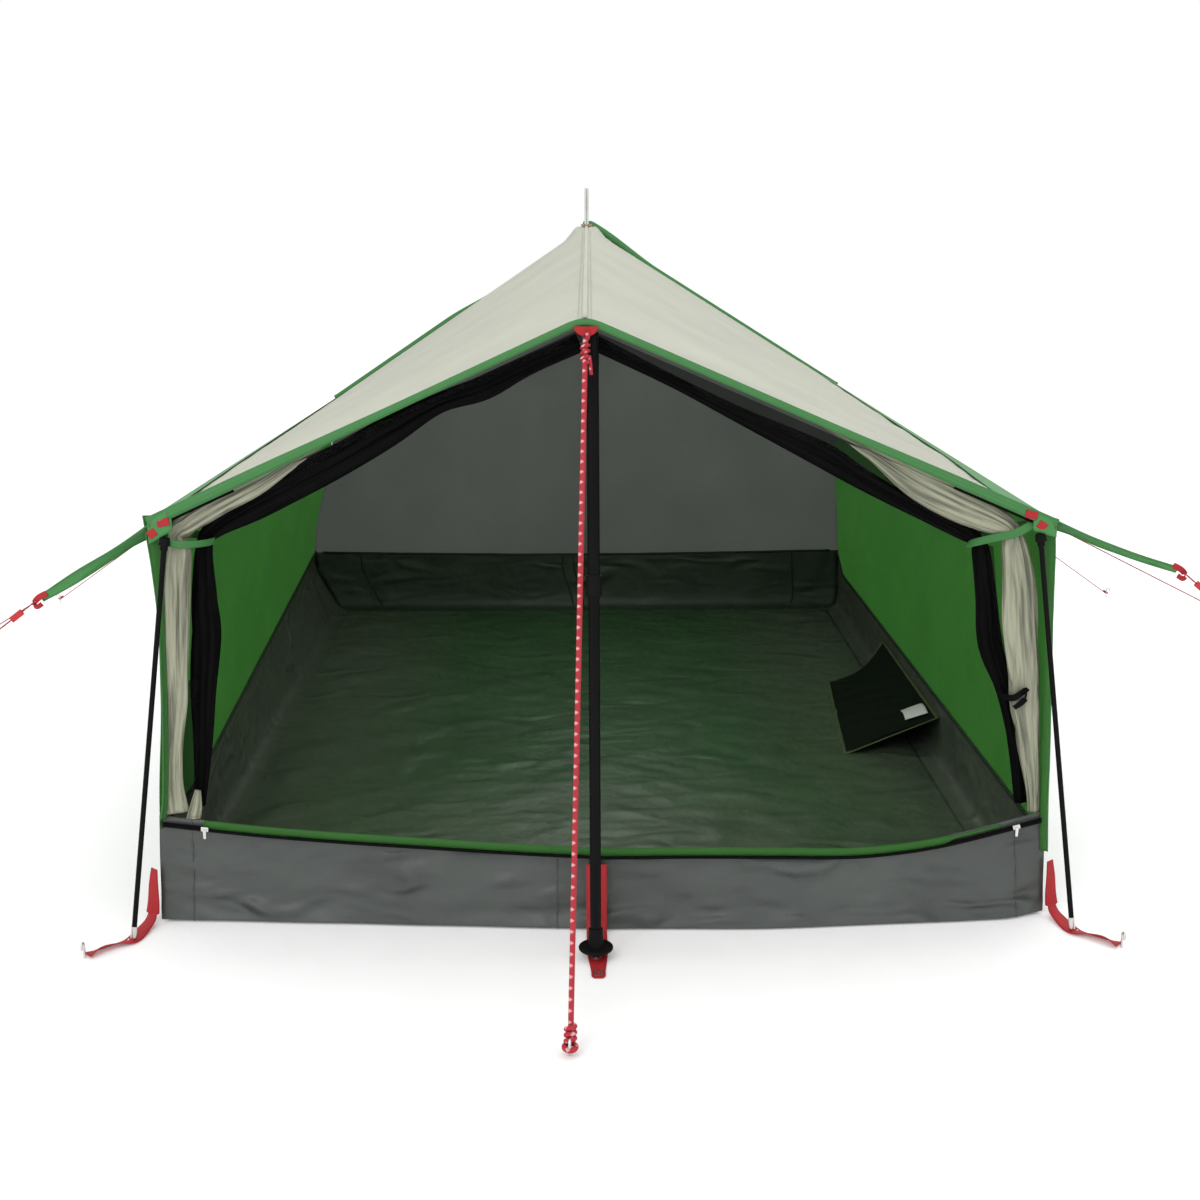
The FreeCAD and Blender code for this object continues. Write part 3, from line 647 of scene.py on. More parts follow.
SLOPE = 0.83


def roof_point(side, u, v):
    y = mix(-ROOF_END, ROOF_END, v)
    top = Vector((lean_x(y) + side * 0.0003, y, ridge_z(y)))
    edge = Vector((side * EAVE_HALF, y, eave_z(y, side)))
    p = top.lerp(edge, u)
    flat_top = ridge_z(y) - 1.2 * max(0.0, abs(p.x) - 0.028)
    p.z = mix(p.z, max(p.z, flat_top), smooth((v - 0.93) / 0.06))
    belly = arch(u) * arch(v)
    hold = smooth(min(u, 1 - u) / 0.12) * smooth(min(v, 1 - v) / 0.05)
    pull = folds(u * 0.83, v * 2.1, 1.05, 1.6, 11.0, 3.1 * side) * 0.0042
    fine = folds(u * 0.83, v * 2.1, 0.75, 4.0, 32.0, 7.7 * side) * 0.0014
    across = folds(u * 0.83, v * 2.1, -0.6, 2.0, 9.0, 5.2 * side) * 0.002
    p.z += -0.009 * belly + hold * (pull + fine + across)
    return p


for side, word in SIDES:
    size = (SLOPE, 2 * ROOF_END)
    roof = cloth("roof_%s_cloth" % word, partial(roof_point, side), (90, 200), size, CREAM, ("roof_" + word,))

ridge = [(lean_x(y), y, ridge_z(y) + 0.0022) for y in spread(-ROOF_END - 0.001, 1.022, 60)]
sweep("ridge_seam", ridge, round_section(0.0042, squash=0.6), CREAM, ("ridge_piping",))
for side, word in SIDES:
    seam = []
    for y in spread(-ROOF_END + 0.004, ROOF_END - 0.06, 60):
        x = lean_x(y) + side * STITCH_GAP
        seam.append((x, y, roof_z(x, y) + 0.0016))
    sweep("ridge_stitch_" + word, seam, round_section(0.0005, 8), CREAM)


def band_point(side, u, v):
    """Green band on the eave: over the roof's edge, then hanging down."""
    y = mix(-ROOF_END, ROOF_END, v)
    widen = smooth((0.3 - v) / 0.3)
    inboard = (0.048 + 0.036 * widen) if side > 0 else (0.03 + 0.012 * widen)
    drop = 0.016 if side > 0 else 0.022
    out = 0.008 if side > 0 else 0.003
    if u < 0.6:
        t = u / 0.6
        x = side * mix(EAVE_HALF - inboard, EAVE_HALF + 0.001, t)
        above = 0.0022 + 0.0015 * arch(t) if side > 0 else 0.003
        return Vector((x, y, roof_z(x, y) + above))
    t = (u - 0.6) / 0.4
    ripple = 0.0016 * folds(v * 2.1, 0.0, 0.0, 9.0, 1.0, side * 4.0)
    return Vector((side * (EAVE_HALF + 0.001 + out * t + ripple * t), y, eave_z(y, side) + 0.002 - drop * t))


for side, word in SIDES:
    band = partial(band_point, side)
    cloth("eave_band_" + word, band, (14, 120), (0.06, 2.12), GREEN_TRIM, ("eave_bands",))


def edge_path(y, front):
    """Along the roof's end edge, eave to eave, with a softly rounded peak."""
    points = []
    for i in range(-80, 81):
        x = i / 80 * (EAVE_HALF + 0.002)
        near = abs(x - lean_x(y))
        z = roof_z(min(max(x, -EAVE_HALF), EAVE_HALF), y) - max(0.0, 0.026 - near) ** 2 * 7.0
        if front:
            z -= 0.0025
        elif x < 0:
            z += mix(-0.013, 0.001, smooth((-x - 0.25) / 0.15))
        else:
            z += 0.016 * smooth((0.2 - x) / 0.16) - 0.002
        points.append((x, y, z))
    return points


def tape_height(t):
    """The front tape is narrow over the peak and widest at the left corner."""
    away = abs(t - 0.478) * 2
    if t < 0.478:
        return mix(0.62, 0.94, smooth((away - 0.35) / 0.45))
    return mix(0.62, 0.9, smooth((away - 0.5) / 0.4))


TAPE = mm((-1.6, -9.4), (1.6, -9.4), (2.2, 0), (1.8, 8.8), (-0.6, 10), (-2.2, 8.8))
sweep("front_roof_tape", edge_path(-ROOF_END - 0.001, True), TAPE, TRIM, ("roof_bindings",), tall=tape_height)
sweep("rear_roof_tape", edge_path(ROOF_END + 0.001, False), TAPE, TRIM)

# ---- side walls


def wall_point(side, u, v):
    y = mix(-HALF_LENGTH + 0.001, HALF_LENGTH - 0.001, v)
    z = mix(tub_top(y, side) - 0.004, eave_z(y, side) - 0.0005, u)
    ends = smooth(min(v, 1 - v) / 0.06)
    pull_in = 0.013 * arch(u) * (1.2 - arch(v)) * smooth(min(v, 1 - v) / 0.03)
    pull_in += slack(y, z, side)
    crease = folds(v * 2.1, u * 0.5, 0.42, 2.0, 14.0, side * 2.3) * 0.005 * ends
    crease += folds(v * 2.1, u * 0.5, -0.5, 2.4, 16.0, side * 8.3) * 0.0035 * ends
    x = mix(wall_x(z), min(wall_x(z), EAVE_HALF - 0.0015), smooth((u - 0.85) / 0.15))
    x += crease * arch(u) ** 0.5 - pull_in
    return Vector((side * x, y, z))


TUB_PROFILE = mm((95, 1.6), (45, 2.2), (14, 10), (3.5, 40), (4.5, 100), (7.5, 172))


def tub_profile(u):
    """How far inside the outer line the bathtub stands, and its height."""
    return catmull(TUB_PROFILE, u)


def tub_side_point(side, u, v):
    inset, z = tub_profile(u)
    reach = HALF_LENGTH - inset
    y = mix(-reach, reach, v)
    crease = folds(v * 2.1, z, 1.3, 3.0, 12.0, side * 6.1) * 0.006
    crease += uneven(v * 30, z * 30, side * 4.0) * 0.0022
    free = smooth((z - 0.004) / 0.05) * smooth((TUB_TOP + 0.02 - z) / 0.06) * smooth(min(v, 1 - v) / 0.03)
    z *= tub_top(y, side) / TUB_TOP
    x = FLOOR_HALF - inset - max(0.0, crease) * free - slack(y, z, side)
    return Vector((side * x, y, max(0.001, z)))


for side, word in SIDES:
    wall = cloth(
        "side_wall_%s_cloth" % word, partial(wall_point, side), (50, 170), (0.5, 2.1), GREEN,
        ("side_wall_" + word,)
    )
    tub = cloth(
        "bathtub_%s_cloth" % word, partial(tub_side_point, side), (26, 150), (0.26, 2.1), TUB_SIDES_GREEN_LIT,
        ("bathtub_" + word,)
    )
    seam = []
    for y in spread(-HALF_LENGTH, HALF_LENGTH, 60):
        z = tub_top(y, side)
        seam.append((side * (wall_x(z) - 0.0035 - slack(y, z, side)), y, z))
    sweep("tub_seam_" + word, seam, round_section(0.0028, 8, 1.6), (DARK_SEAM[0], "trim_green"))

# ---- floor


def floor_point(u, v):
    x = mix(-0.712, 0.712, u)
    front = front_y(x) + 0.045
    y = mix(front, HALF_LENGTH - 0.045, v)
    lift = max(0.0, folds(x, y, 0.6, 2.6, 11.0, 1.7)) * 0.01
    lift += max(0.0, folds(x, y, -0.5, 3.0, 15.0, 9.1)) * 0.007
    lift += max(0.0, folds(x, y, 0.15, 5.0, 34.0, 4.4)) * 0.004
    lift += abs(uneven(x * 9, y * 9, 2.2)) * 0.003
    edge = smooth(min(u, 1 - u, v, 1 - v) / 0.05)
    return Vector((x, y, 0.0018 + lift * edge * mix(1.0, 0.6, v)))


floor = cloth("groundsheet_cloth", floor_point, (150, 210), (1.42, 2.05), FLOOR, ("groundsheet",))

# ---- rear wall


def tub_rear_point(u, v):
    inset, z = tub_profile(u)
    reach = FLOOR_HALF - inset
    x = mix(slack(HALF_LENGTH, z, -1) - reach, reach, v)
    crease = max(0.0, folds(v * 1.5, z, 1.2, 3.0, 14.0, 5.5)) * 0.006
    free = smooth((z - 0.004) / 0.05) * smooth(min(v, 1 - v) / 0.04)
    dip = 0.01 * arch(v) * smooth(u / 0.9 - 0.3)
    return Vector((x, HALF_LENGTH - inset - crease * free, max(0.001, z - dip)))


rear_tub = cloth("bathtub_rear_cloth", tub_rear_point, (26, 110), (0.26, 1.5), TUB_REAR_SHADED, ("bathtub_rear",))
for tag, x in (("left", -0.62), ("mid_left", -0.043), ("mid_right", -0.011), ("right", 0.62)):
    share = (x + FLOOR_HALF) / (2 * FLOOR_HALF)
    line = [tub_rear_point(mix(0.4, 0.98, i / 14), share) + Vector((0, -0.001, 0)) for i in range(15)]
    sweep("rear_seam_" + tag, line, round_section(0.0022, 8), DARK_SEAM, up=(0, 1, 0))
line = [tub_rear_point(1.0, i / 60) + Vector((0, -0.004, 0.001)) for i in range(1, 60)]
sweep("rear_seam_top", line, round_section(0.0032, 8), DARK_SEAM)


def rear_point(u, v):
    half = mix(wall_x(TUB_TOP) + 0.004, EAVE_HALF - 0.001, v)
    x = mix(slack(HALF_LENGTH, mix(TUB_TOP, 0.64, v), -1) - half, half, u)
    y = HALF_LENGTH - 0.002
    top = roof_z(x, y) - 0.004
    gap = abs(x) / 0.024
    if gap < 1:
        top = mix(1.003, top, gap**1.6)
    low = TUB_TOP - 0.01 * arch(u) - 0.02
    z = mix(low, top, v)
    crease = folds(x, z, 0.75, 1.6, 13.0, 6.6) * 0.004 + folds(x, z, -0.9, 2.0, 17.0, 1.2) * 0.003
    free = smooth(min(u, 1 - u) / 0.05) * smooth(min(v, 1 - v) / 0.06)
    near_pole = smooth(abs(x) / 0.05)
    return Vector((x, y - 0.01 * arch(u) * free - abs(crease) * free * near_pole, z))


rear_wall = cloth("rear_wall_cloth", rear_point, (110, 90), (1.47, 0.93), REAR, ("rear_wall",))

# ---- front sill wall

FRONT_PROFILE = mm((90, 1.6), (40, 1.8), (4.5, 3), (0.5, 14), (2, 50), (3.5, 110), (6.5, 172))


def tub_front_point(u, v):
    """The front bathtub wall: u up from the floor, v left to right. The right foot stands out further."""
    inset, share = catmull(FRONT_PROFILE, u)
    reach = FLOOR_HALF - inset * 0.9
    x = mix(-reach, reach, v)
    z = share / TUB_TOP * sill_z(x)
    crease = abs(folds(x, z, 0.12, 5.0, 30.0, 3.3)) * 0.012 + abs(folds(x, z, -0.45, 6.0, 24.0, 7.9)) * 0.01
    crease += uneven(x * 18, z * 30, 6.0) * 0.005
    free = smooth((z - 0.002) / 0.03) * smooth((sill_z(x) - z) / 0.03) * smooth(min(v, 1 - v) / 0.03)
    low = 1 - share / TUB_TOP
    foot = (0.024 * smooth(x / 0.3) + 0.006) * smooth((FLOOR_HALF + 0.04 - x) / 0.12) * low**1.4
    foot += 0.0035 * uneven(x * 6, 0.0, 3.0) * low
    return Vector((x, front_y(x) + inset - foot + abs(crease) * free, max(0.001, z)))


def front_seam(name, x):
    """A seam that stands on the front wall at x."""
    v = (x + FLOOR_HALF) / (2 * FLOOR_HALF)
    line = [tub_front_point(mix(0.36, 0.985, i / 14), v) + Vector((0, -0.0008, 0)) for i in range(15)]
    sweep(name, line, round_section(0.0013, 8), TUB, up=(0, 1, 0))


for tag, x in (("left", -0.7), ("panel_left", -0.081), ("panel_right", -0.009), ("right", 0.705)):
    front_seam("front_seam_" + tag, x)

front_tub = cloth(
    "bathtub_front_cloth", tub_front_point, (30, 150), (0.24, 1.52), TUB, ("bathtub_front",)
)


def sill_path(drop, out, reach=0.742):
    points = []
    for i in range(-70, 71):
        x = i / 70 * reach
        points.append((x, front_y(x) - out, sill_z(x) - drop))
    return points


SILL_TAPE = mm((-1.4, -9.5), (1.4, -9.5), (2, -2), (1.4, 4), (-1.4, 4), (-2, -2))


def sill_tape_height(t):
    """The tape narrows where the right-hand slider runs."""
    return mix(1.0, 0.3, smooth((t - 0.925) / 0.02))


# The sill tape takes the darker wall cloth instead of the tape's own green: painted shade on the sill.
sweep(
    "sill_tape", sill_path(0.001, 0.0015, 0.672), SILL_TAPE, (GREEN[0], "trim_green"), ("door_sill_binding",),
    tall=sill_tape_height,
)
ZIP_TAPE = mm((-0.7, -4.5), (0.7, -4.5), (0.7, 4.5), (-0.7, 4.5))
sweep("sill_zip_tape", sill_path(0.0125, 0.0012), ZIP_TAPE, ZIP, ("door_zipper",))
sweep("sill_zip_coil", sill_path(0.0128, 0.0036), round_section(0.0019, 10), ZIP)

# ---- doors

DOOR_FLAT, DOOR_AREA = (0.75, 0.89), 0.516


def rolled(name, keys, turns, look, replaces, seed, lobes):
    """A door gathered into a roll: a spiral of cloth along keys of (x, y, z, width, depth)."""

    def point(u, v):
        x, y, z, width, depth = catmull(keys, v)
        a, b = catmull(keys, max(0.0, v - 0.012)), catmull(keys, min(1.0, v + 0.012))
        ahead = Vector((b[0] - a[0], 0, b[2] - a[2])).normalized()
        out = Vector((-ahead.z, 0, ahead.x))
        angle = 2 * pi * turns * u
        drift = 1.4 * sin(4.1 * v + seed) + 0.8 * sin(9.7 * v + 2 * seed)
        swell = 1 + 0.11 * sin(lobes * angle + drift)
        swell += 0.07 * sin((lobes * 2 + 1) * angle - 1.7 * drift)
        swell += 0.16 * uneven(cos(angle) * 1.5, sin(angle) * 1.5, v * 5 + seed)
        swell -= 0.3 * (1 - abs(sin(lobes * angle / 2 + drift))) ** 3
        reach = mix(0.1, 1.0, u) * swell
        return Vector((x, y, z)) + out * (cos(angle) * reach * width / 2) + Vector(
            (0, -sin(angle) * reach * depth / 2, 0)
        )

    piece = cloth(name, point, (int(turns * 24), 84), (DOOR_FLAT[0], 1.0), look, replaces, thick=0.0005)


CREAM_RIGHT = mm(
    (345, -1042, 846, 5, 4), (428, -1040, 801, 30, 12), (500, -1039, 754, 52, 20),
    (572, -1038, 716, 52, 24), (630, -1037, 690, 44, 24), (660, -1036, 672, 30, 24),
    (669, -1036, 640, 42, 24), (680, -1036, 580, 53, 24), (687, -1036, 520, 58, 24),
    (697, -1036, 450, 56, 24), (705, -1036, 381, 53, 24), (714, -1036, 325, 44, 22),
    (722, -1036, 275, 34, 20), (729, -1036, 225, 25, 18), (733, -1036, 181, 22, 16),
)
CREAM_LEFT = mm(
    (-452, -1042, 812, 5, 4), (-497, -1040, 789, 22, 12), (-560, -1039, 750, 40, 18),
    (-620, -1038, 720, 44, 22), (-668, -1037, 692, 42, 24), (-692, -1036, 672, 36, 24),
    (-693, -1036, 645, 46, 24), (-697, -1036, 590, 44, 24), (-700, -1036, 528, 42, 24),
    (-705, -1036, 450, 38, 24), (-708, -1036, 391, 34, 22), (-716, -1036, 330, 28, 20),
    (-722, -1036, 286, 30, 18), (-726, -1036, 240, 38, 18), (-722, -1036, 192, 48, 18),
)
MESH_RIGHT = mm(
    (-18, -1018, 974, 24, 12), (110, -1018, 911, 20, 16), (216, -1018, 857, 26, 18),
    (348, -1018, 793, 40, 20), (416, -1018, 753, 34, 20), (520, -1016, 698, 32, 20),
    (590, -1012, 663, 32, 20), (616, -1008, 646, 22, 20), (624, -1004, 625, 34, 22),
    (637, -1002, 552, 40, 22), (650, -1002, 466, 46, 22), (684, -1002, 378, 34, 22),
    (698, -1002, 325, 30, 20), (709, -1002, 271, 28, 20), (720, -1002, 184, 22, 16),
)
MESH_LEFT = mm(
    (-40, -1018, 974, 30, 12), (-125, -1018, 937, 32, 16), (-193, -1018, 905, 38, 18),
    (-266, -1018, 880, 30, 18), (-348, -1018, 836, 46, 20), (-429, -1018, 789, 50, 20),
    (-500, -1018, 753, 56, 20), (-565, -1016, 721, 58, 20), (-634, -1010, 676, 34, 20),
    (-655, -1004, 643, 30, 22), (-661, -1002, 559, 46, 22), (-663, -1002, 491, 54, 22),
    (-674, -1002, 388, 46, 22), (-680, -1002, 283, 32, 20), (-690, -1002, 192, 20, 16),
)
rolled("outer_roll_right", CREAM_RIGHT, 8.6, CREAM_DOOR_SHADED, ("outer_door_right",), 1.3, 3)
rolled("outer_roll_left", CREAM_LEFT, 9.6, CREAM_DOOR_SHADED, ("outer_door_left",), 4.9, 3)
rolled("mesh_roll_right", MESH_RIGHT, 8.2, MESH_ROLL, ("mesh_door_right",), 2.6, 4)
rolled("mesh_roll_left", MESH_LEFT, 7.2, MESH_ROLL, ("mesh_door_left",), 7.7, 4)


def between(upper, lower, ripple, seed):
    """A single layer from one line of (x, y, z) keys to another, slightly rippled."""

    def point(u, v):
        p = Vector(catmull(upper, v)).lerp(Vector(catmull(lower, v)), u)
        p.y += ripple * uneven(v * 11, u * 2.0, seed) * arch(u)
        return p

    return point


def net(name, upper, lower, flat, seed):
    """One layer of door mesh that isn't in the roll."""
    piece = cloth(name, between(upper, lower, 0.012, seed), (10, 60), flat, MESH_NET, thick=0.0)


def hem_xs(side):
    """Distances from the middle, from the leaning peak out to the eave."""
    return spread(0.036 if side < 0 else -0.022, 0.62, 6)


def roof_hem(side):
    """Points just under the front roof edge, peak to eave."""
    return [(side * x, -1.046, roof_z(side * x, -ROOF_END) - 0.016) for x in hem_xs(side)]


def roll_line(keys, side):
    line = []
    for x in hem_xs(side):
        best = min((catmull(keys, k / 200) for k in range(0, 110)), key=lambda p: abs(p[0] - side * x))
        line.append((side * x, best[1] + 0.004, best[2]))
    return line


net("mesh_hem_right", roof_hem(1), roll_line(MESH_RIGHT, 1), (0.05, 0.68), 2.2)
net("mesh_hem_left", roof_hem(-1), roll_line(MESH_LEFT, -1), (0.04, 0.68), 5.2)
net(
    "mesh_tail_right",
    mm((640, -1018, 640), (662, -1016, 500), (700, -1014, 390), (722, -1014, 290), (740, -1016, 184)),
    mm((622, -1000, 640), (650, -1000, 500), (680, -1000, 390), (706, -1000, 290), (716, -1000, 184)),
    (0.03, 0.48), 3.1,
)
net(
    "mesh_tail_left",
    mm((-690, -1020, 420), (-716, -1018, 340), (-724, -1018, 280), (-730, -1018, 230), (-728, -1018, 186)),
    mm((-668, -1004, 420), (-676, -1002, 340), (-678, -1002, 280), (-684, -1002, 230), (-690, -1002, 186)),
    (0.042, 0.26), 8.4,
)


def tie(name, side, keys):
    """A green tape round both rolled doors, sewn to the corner of the roof."""
    ribbon(name, [(side * x, y, z, w, 1.2) for x, y, z, w in keys], TRIM, ("door_ties",), steps=90,
        thick=0.0012)


tie("door_tie_right", 1, mm(
    (714, -1048, 690, 10), (694, -1056, 686, 13), (664, -1057, 670, 14), (636, -1050, 662, 13),
    (606, -1032, 650, 13), (598, -1010, 642, 13), (616, -990, 650, 13), (660, -992, 664, 13),
    (704, -1018, 680, 12), (718, -1040, 690, 10),
))
tie("door_tie_left", -1, mm(
    (722, -1048, 672, 10), (710, -1056, 664, 13), (684, -1058, 658, 14), (658, -1046, 656, 13),
    (640, -1026, 655, 13), (636, -1006, 655, 13), (650, -988, 657, 13), (684, -992, 662, 13),
    (714, -1018, 670, 12), (724, -1040, 674, 10),
))
# A spare buckle strap hangs on the right-hand mesh roll, and a fold of the outer door turns up at the left.
ribbon(
    "mesh_strap_right",
    [(0.662, -1.024, 0.384, 0.012, 1.2), (0.68, -1.052, 0.389, 0.012, 1.2), (0.7, -1.053, 0.402, 0.012, 1.3),
     (0.698, -1.054, 0.386, 0.01, 1.4), (0.682, -1.054, 0.372, 0.008, 1.4)],
    ZIP, steps=30,
)
fold = cloth(
    "outer_fold_left",
    between(mm((-686, -1046, 236), (-694, -1048, 214), (-700, -1049, 196), (-704, -1048, 184)),
            mm((-678, -1040, 232), (-676, -1046, 212), (-677, -1048, 196), (-680, -1047, 184)),
            0.004, 6.6),
    (8, 16), (0.02, 0.055), CREAM_DOOR_SHADED,
)


def top_zip(side, first, last):
    """The door zip, sewn just under the front roof edge near the corner."""
    xs = [side * x for x in spread(first, last, 24)]
    return [(x, -ROOF_END + 0.004, roof_z(x, -ROOF_END) - 0.015) for x in xs]


NARROW = [(out, high * 0.45) for out, high in ZIP_TAPE]
sweep("top_zip_left", top_zip(-1, 0.7, 0.59), NARROW, ZIP)
sweep("top_zip_right", top_zip(1, 0.69, 0.56), NARROW, ZIP)

# ---- gussets, tabs

GUSSET_RIGHT = mm(
    (728, 700, 686), (732, 706, 640), (734, 718, 580), (737, 726, 500), (742, 731, 400), (747, 736, 300),
    (751, 740, 200), (756, 744, 114),
)
GUSSET_LEFT = mm(
    (738, 696, 705), (732, 704, 645), (727, 714, 580), (725, 717, 500), (728, 720, 400), (733, 725, 300),
    (739, 731, 220), (745, 737, 186),
)


def gusset_point(side, keys):
    def point(u, v):
        outer, inner, z = catmull(keys, v)
        y = -HALF_LENGTH - 0.0035 + 0.004 * u + 0.0012 * uneven(v * 14, u * 3, side)
        return Vector((side * mix(outer, inner, u), y, z))

    return point


for side, word, keys in ((1, "right", GUSSET_RIGHT), (-1, "left", GUSSET_LEFT)):
    gusset = cloth(
        "corner_gusset_" + word, gusset_point(side, keys), (8, 60), (0.02, 0.57), GREEN, ("corner_gussets",)
    )
    edge = [gusset_point(side, keys)(0.02, i / 40) + Vector((0, -0.001, 0)) for i in range(41)]
    sweep("gusset_hem_" + word, edge, round_section(0.0014, 8), TRIM, up=(0, 1, 0))

PATCHES = ("upper", 0.694, 0.713, 0.698, 0.694), ("lower", 0.716, 0.728, 0.682, 0.674)
WINGS = {
    "right": (
        mm((714, 698), (760, 676), (802, 658), (869, 633), (936, 612)),
        mm((730, 672), (764, 662), (803, 646), (870, 623), (930, 605)),
    ),
    "left": (
        mm((716, 700), (755, 672), (792, 648), (851, 614), (910, 575)),
        mm((734, 664), (764, 650), (794, 631), (852, 595), (905, 567)),
    ),
}


def wing_point(side, lines):
    """The guy tab: a long triangle of cloth from the corner of the roof, curved in along its lower edge."""

    def point(u, v):
        top, low = catmull(lines[0], v), catmull(lines[1], v)
        x, z = mix(top[0], low[0], u), mix(top[1], low[1], u)
        y = -1.0605 + 0.04 * u * (1 - v) ** 1.3 + 0.0015 * uneven(v * 9, u * 4, side * 3.0)
        return Vector((side * x, y, z))

    return point


for side, word in SIDES:
    lines = WINGS[word]
    point = wing_point(side, lines)
    wing = cloth("guy_wing_" + word, point, (10, 40), (0.04, 0.22), GREEN_TRIM, ("guy_tabs",))
    for edge, u in (("top", 0.0), ("low", 1.0)):
        hem = [point(u, i / 30) for i in range(31)]
        sweep("wing_hem_%s_%s" % (edge, word), hem, round_section(0.0016, 8), TRIM)
    end_x, end_z = lines[0][-1]
    ribbon(
        "wing_web_" + word,
        [(side * (end_x + dx), y, end_z + dz, w, 1.25) for dx, y, dz, w in (
            (-0.012, -1.0615, 0.005, 0.01), (0.001, -1.063, -0.002, 0.01), (0.008, -1.064, -0.01, 0.009),
            (0.005, -1.065, -0.017, 0.008), (-0.004, -1.064, -0.012, 0.008))],
        RED_WEB, steps=30,
    )
    for patch, x0, x1, z0, z1 in PATCHES:
        shift = 0.0 if side < 0 else -0.018
        ribbon(
            "corner_patch_%s_%s" % (patch, word),
            [(side * (x + shift), -1.0655, z - shift * 0.35, 0.013, 1.45)
             for x, z in zip(spread(x0, x1, 3), spread(z0, z1, 3))],
            RED_WEB, steps=10,
        )


def cap_point(side):
    """A patch over the corner, where roof tape, guy tab and gusset are sewn together."""

    def point(u, v):
        x = mix(0.69, 0.729, u)
        top = roof_z(side * min(x, EAVE_HALF), -ROOF_END) + 0.003 - 0.45 * max(0.0, x - 0.716)
        low = mix(0.676, 0.664, u) if side > 0 else mix(0.682, 0.66, u)
        return Vector((side * x, -ROOF_END - 0.0015 - 0.002 * arch(u), mix(top, low, v)))

    return point


for side, word in SIDES:
    cloth("corner_cap_" + word, cap_point(side), (10, 6), (0.05, 0.03), GREEN_TRIM)


def loop(name, at):
    """A cord loop sewn to the wall, slightly pulled towards its line."""
    points = []
    for angle in spread(0, 2 * pi, 40):
        stretch = 1 + 0.1 * cos(angle)
        offset = (0.01 * stretch * cos(angle), 0.001 * sin(angle), 0.01 * sin(angle))
        points.append(Vector(at) + Vector(offset))
    tube(name, points, 0.002, TRIM, ("guy_tabs",), sides=12)


for side, word in SIDES:
    for place, y, z in (("side", 0.0, 0.61), ("rear", 1.048, 0.602)):
        loop("guy_loop_%s_%s" % (place, word), (side * (wall_x(z) + 0.0144), y, z))

# ---- webbing


def corner_keys(side, front):
    """From the corner seam over the grommet to the peg. The last column is a turn in milliradians."""
    s = -1 if front else 1
    rows = mm(
        (761, 1056.5, 98, 14, 600), (764, 1057, 70, 20, 550), (766, 1058.5, 35, 25, 500),
        (769, 1065, 14, 26, 400), (775, 1084, 5.5, 25, 150), (785, 1127, 2.6, 25, 0),
        (806, 1146, 5, 21, 450), (828, 1166, 7, 22, 600), (845, 1182, 4, 27, 100),
    )
    return [(side * x, s * y, z, w, a * side * -s) for x, y, z, w, a in rows]


for side, word in SIDES:
    for front, place in ((True, "front"), (False, "rear")):
        ribbon("corner_strap_%s_%s" % (place, word), corner_keys(side, front), RED_WEB,
               ("corner_webbing",), steps=70, thick=0.0016)

STRAP_TOP = mm((3, 121, 34), (4, 85, 34), (7, 45, 34), (13, 10, 34), (40, 2.4, 34))
STRAP_END = mm((-80, 2, 33), (-30, 2, 24), (-8, 2, 22), (-1, 2, 13))
for place, s, x, wall, reach in (("front", -1, -0.015, 1.1045, 1.276), ("rear", 1, 0.0, 1.0515, 1.3)):
    keys = [(x, s * (wall + out), z, width, 0.0) for out, z, width in STRAP_TOP]
    keys += [(x, s * (reach + out), z, width, 0.0) for out, z, width in STRAP_END]
    ribbon("centre_strap_" + place, keys, RED_WEB, ("centre_webbing_" + place,), steps=70, thick=0.0014)

for place, s, x, y, z in (("front", -1, PEAK_LEAN + 0.002, -1.0665, 0.997), ("rear", 1, 0.0, 1.0665, 1.098)):

    def patch_point(u, v, s=s, x=x, y=y, z=z):
        """A half round of webbing over the peak."""
        angle = pi * v
        reach = 0.018 * (u ** 0.8)
        drop = 0.0155 * u * sin(angle) - 0.006
        return Vector((x + reach * cos(angle) * 1.05, y + s * 0.002 * (1 - u), z - drop))

    cloth("peak_patch_" + place, patch_point, (8, 28), (0.017, 0.04), RED_WEB, ("peak_patches",),
        thick=0.0016)

# ---- pocket

POCKET_CORNERS = mm((744.5, -290, 96), (744.5, 315, 96), (600, 268, 4.8), (552, -262, 4.8))


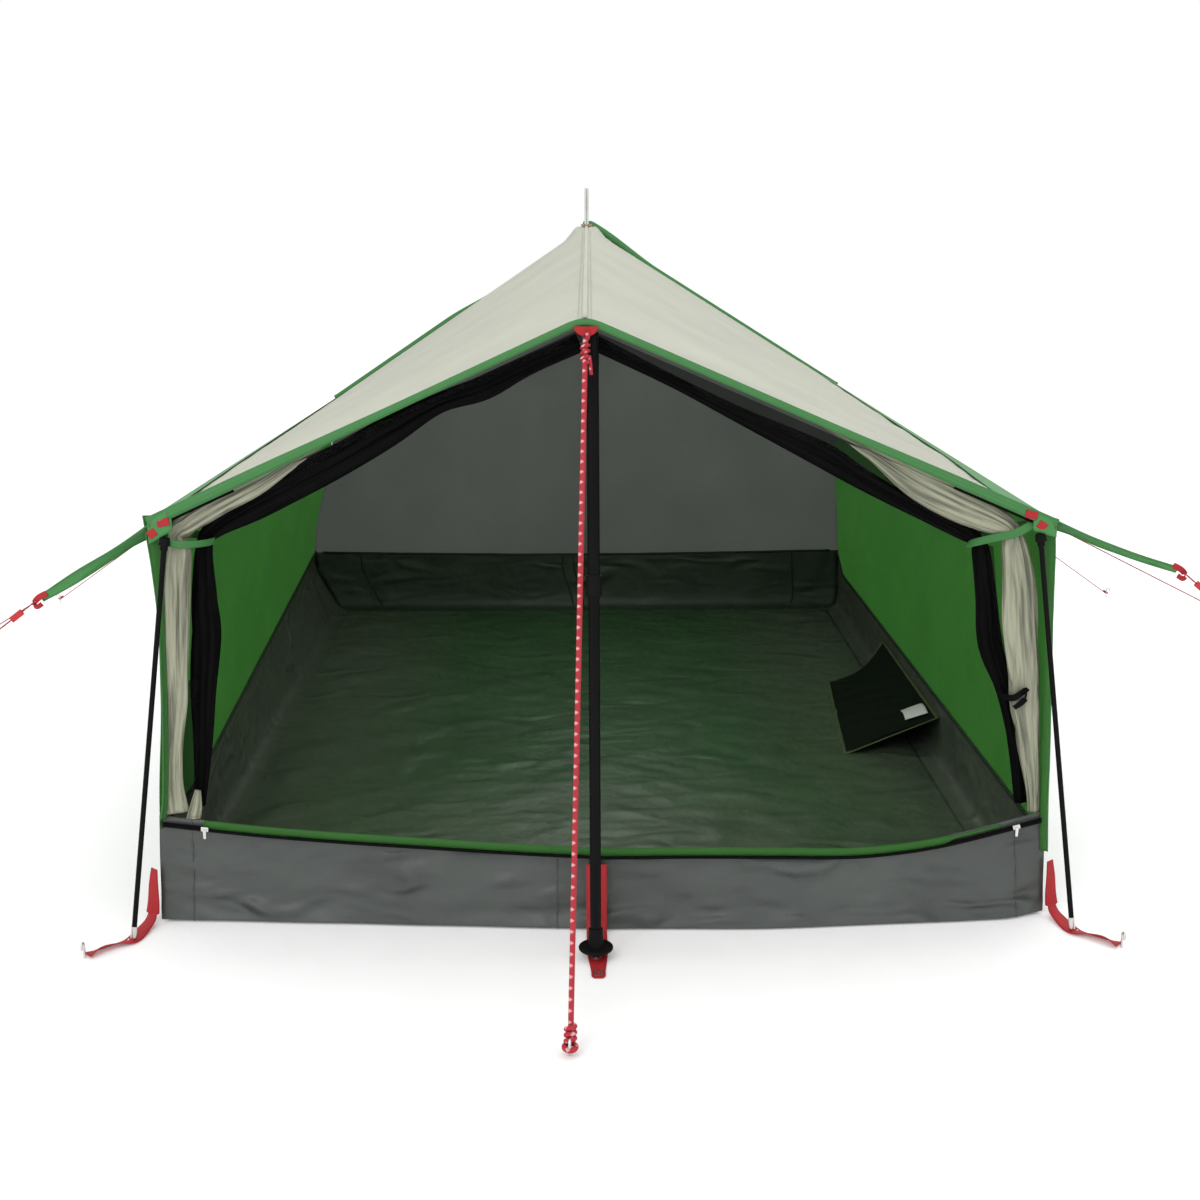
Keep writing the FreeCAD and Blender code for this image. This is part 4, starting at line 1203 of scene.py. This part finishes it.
def pocket_point(lift):
    """u from the wall to the floor, v from front to back. The far end is cut in a hollow curve."""

    def point(u, v):
        a, b, c, d = (Vector(p) for p in POCKET_CORNERS)
        p = a.lerp(b, v).lerp(d.lerp(c, v), u)
        p.y -= 0.055 * arch(u) * v**2
        p.y += 0.02 * arch(u) * (1 - v) ** 2
        p.z += lift * arch(u) * sin(pi * min(1.0, v + 0.08))
        inside = smooth(min(u, 1 - u, v, 1 - v) / 0.1)
        p.z += 0.004 * folds(u * 0.2, v * 0.6, 0.8, 6.0, 26.0, 4.0 + lift * 90) * inside
        p.z -= 0.01 * arch(u) * (1 - lift * 40)
        return p

    return point


back = cloth("pocket_back", pocket_point(0.0), (24, 60), (0.17, 0.6), POCKET, body="gear_pocket")
face = cloth("pocket_face", pocket_point(0.012), (24, 60), (0.17, 0.6), POCKET, ("gear_pocket",),
             body="gear_pocket")
rim = pocket_point(0.003)
EDGES = {
    "floor": [rim(1.0, i / 40) for i in range(41)],
    "near": [rim(1 - i / 16, 0.0) for i in range(17)],
    "far": [rim(1 - i / 16, 1.0) for i in range(17)],
    "wall": [rim(0.0, i / 40) for i in range(41)],
}
RIM_TAPE = mm((-5, -1.2), (5, -1.2), (5, 1.2), (-5, 1.2))
for word, line in EDGES.items():
    sweep("pocket_tape_" + word, line, RIM_TAPE, POCKET_EDGE, body="gear_pocket")


def label_point(u, v):
    p = pocket_point(0.012)(mix(0.06, 0.3, u), mix(0.05, 0.16, v))
    return p + Vector((-0.002, 0.0, 0.005 + 0.004 * arch(v)))


cloth("pocket_label", label_point, (8, 10), (0.045, 0.06), LABEL, body="gear_pocket")

# ---- CAD finishes

FINISH = {
    ALLOY_BLACK: "front_pole_upper_tube front_pole_lower_tube rear_pole_upper_tube rear_pole_lower_tube "
    "corner_struts",
    PLASTIC_BLACK: "front_pole_basket front_pole_lock_collar front_pole_top_cap rear_pole_lock_collar "
    "strut_caps",
    FOAM: "rear_pole_grip",
    STEEL: "front_pole_tip rear_pole_spike strut_ferrules webbing_grommets guyline_pegs webbing_pegs "
    "zipper_slider_left zipper_slider_right zipper_pull_left zipper_pull_right",
    BRASS: "apex_grommet",
    PLASTIC_RED: "tensioner_left tensioner_right",
    ZIP[0]: "rear_door_zipper",
}
for material, names in FINISH.items():
    for node in names.split():
        slots = NODES[node].data.materials
        slots.clear()
        slots.append(material)
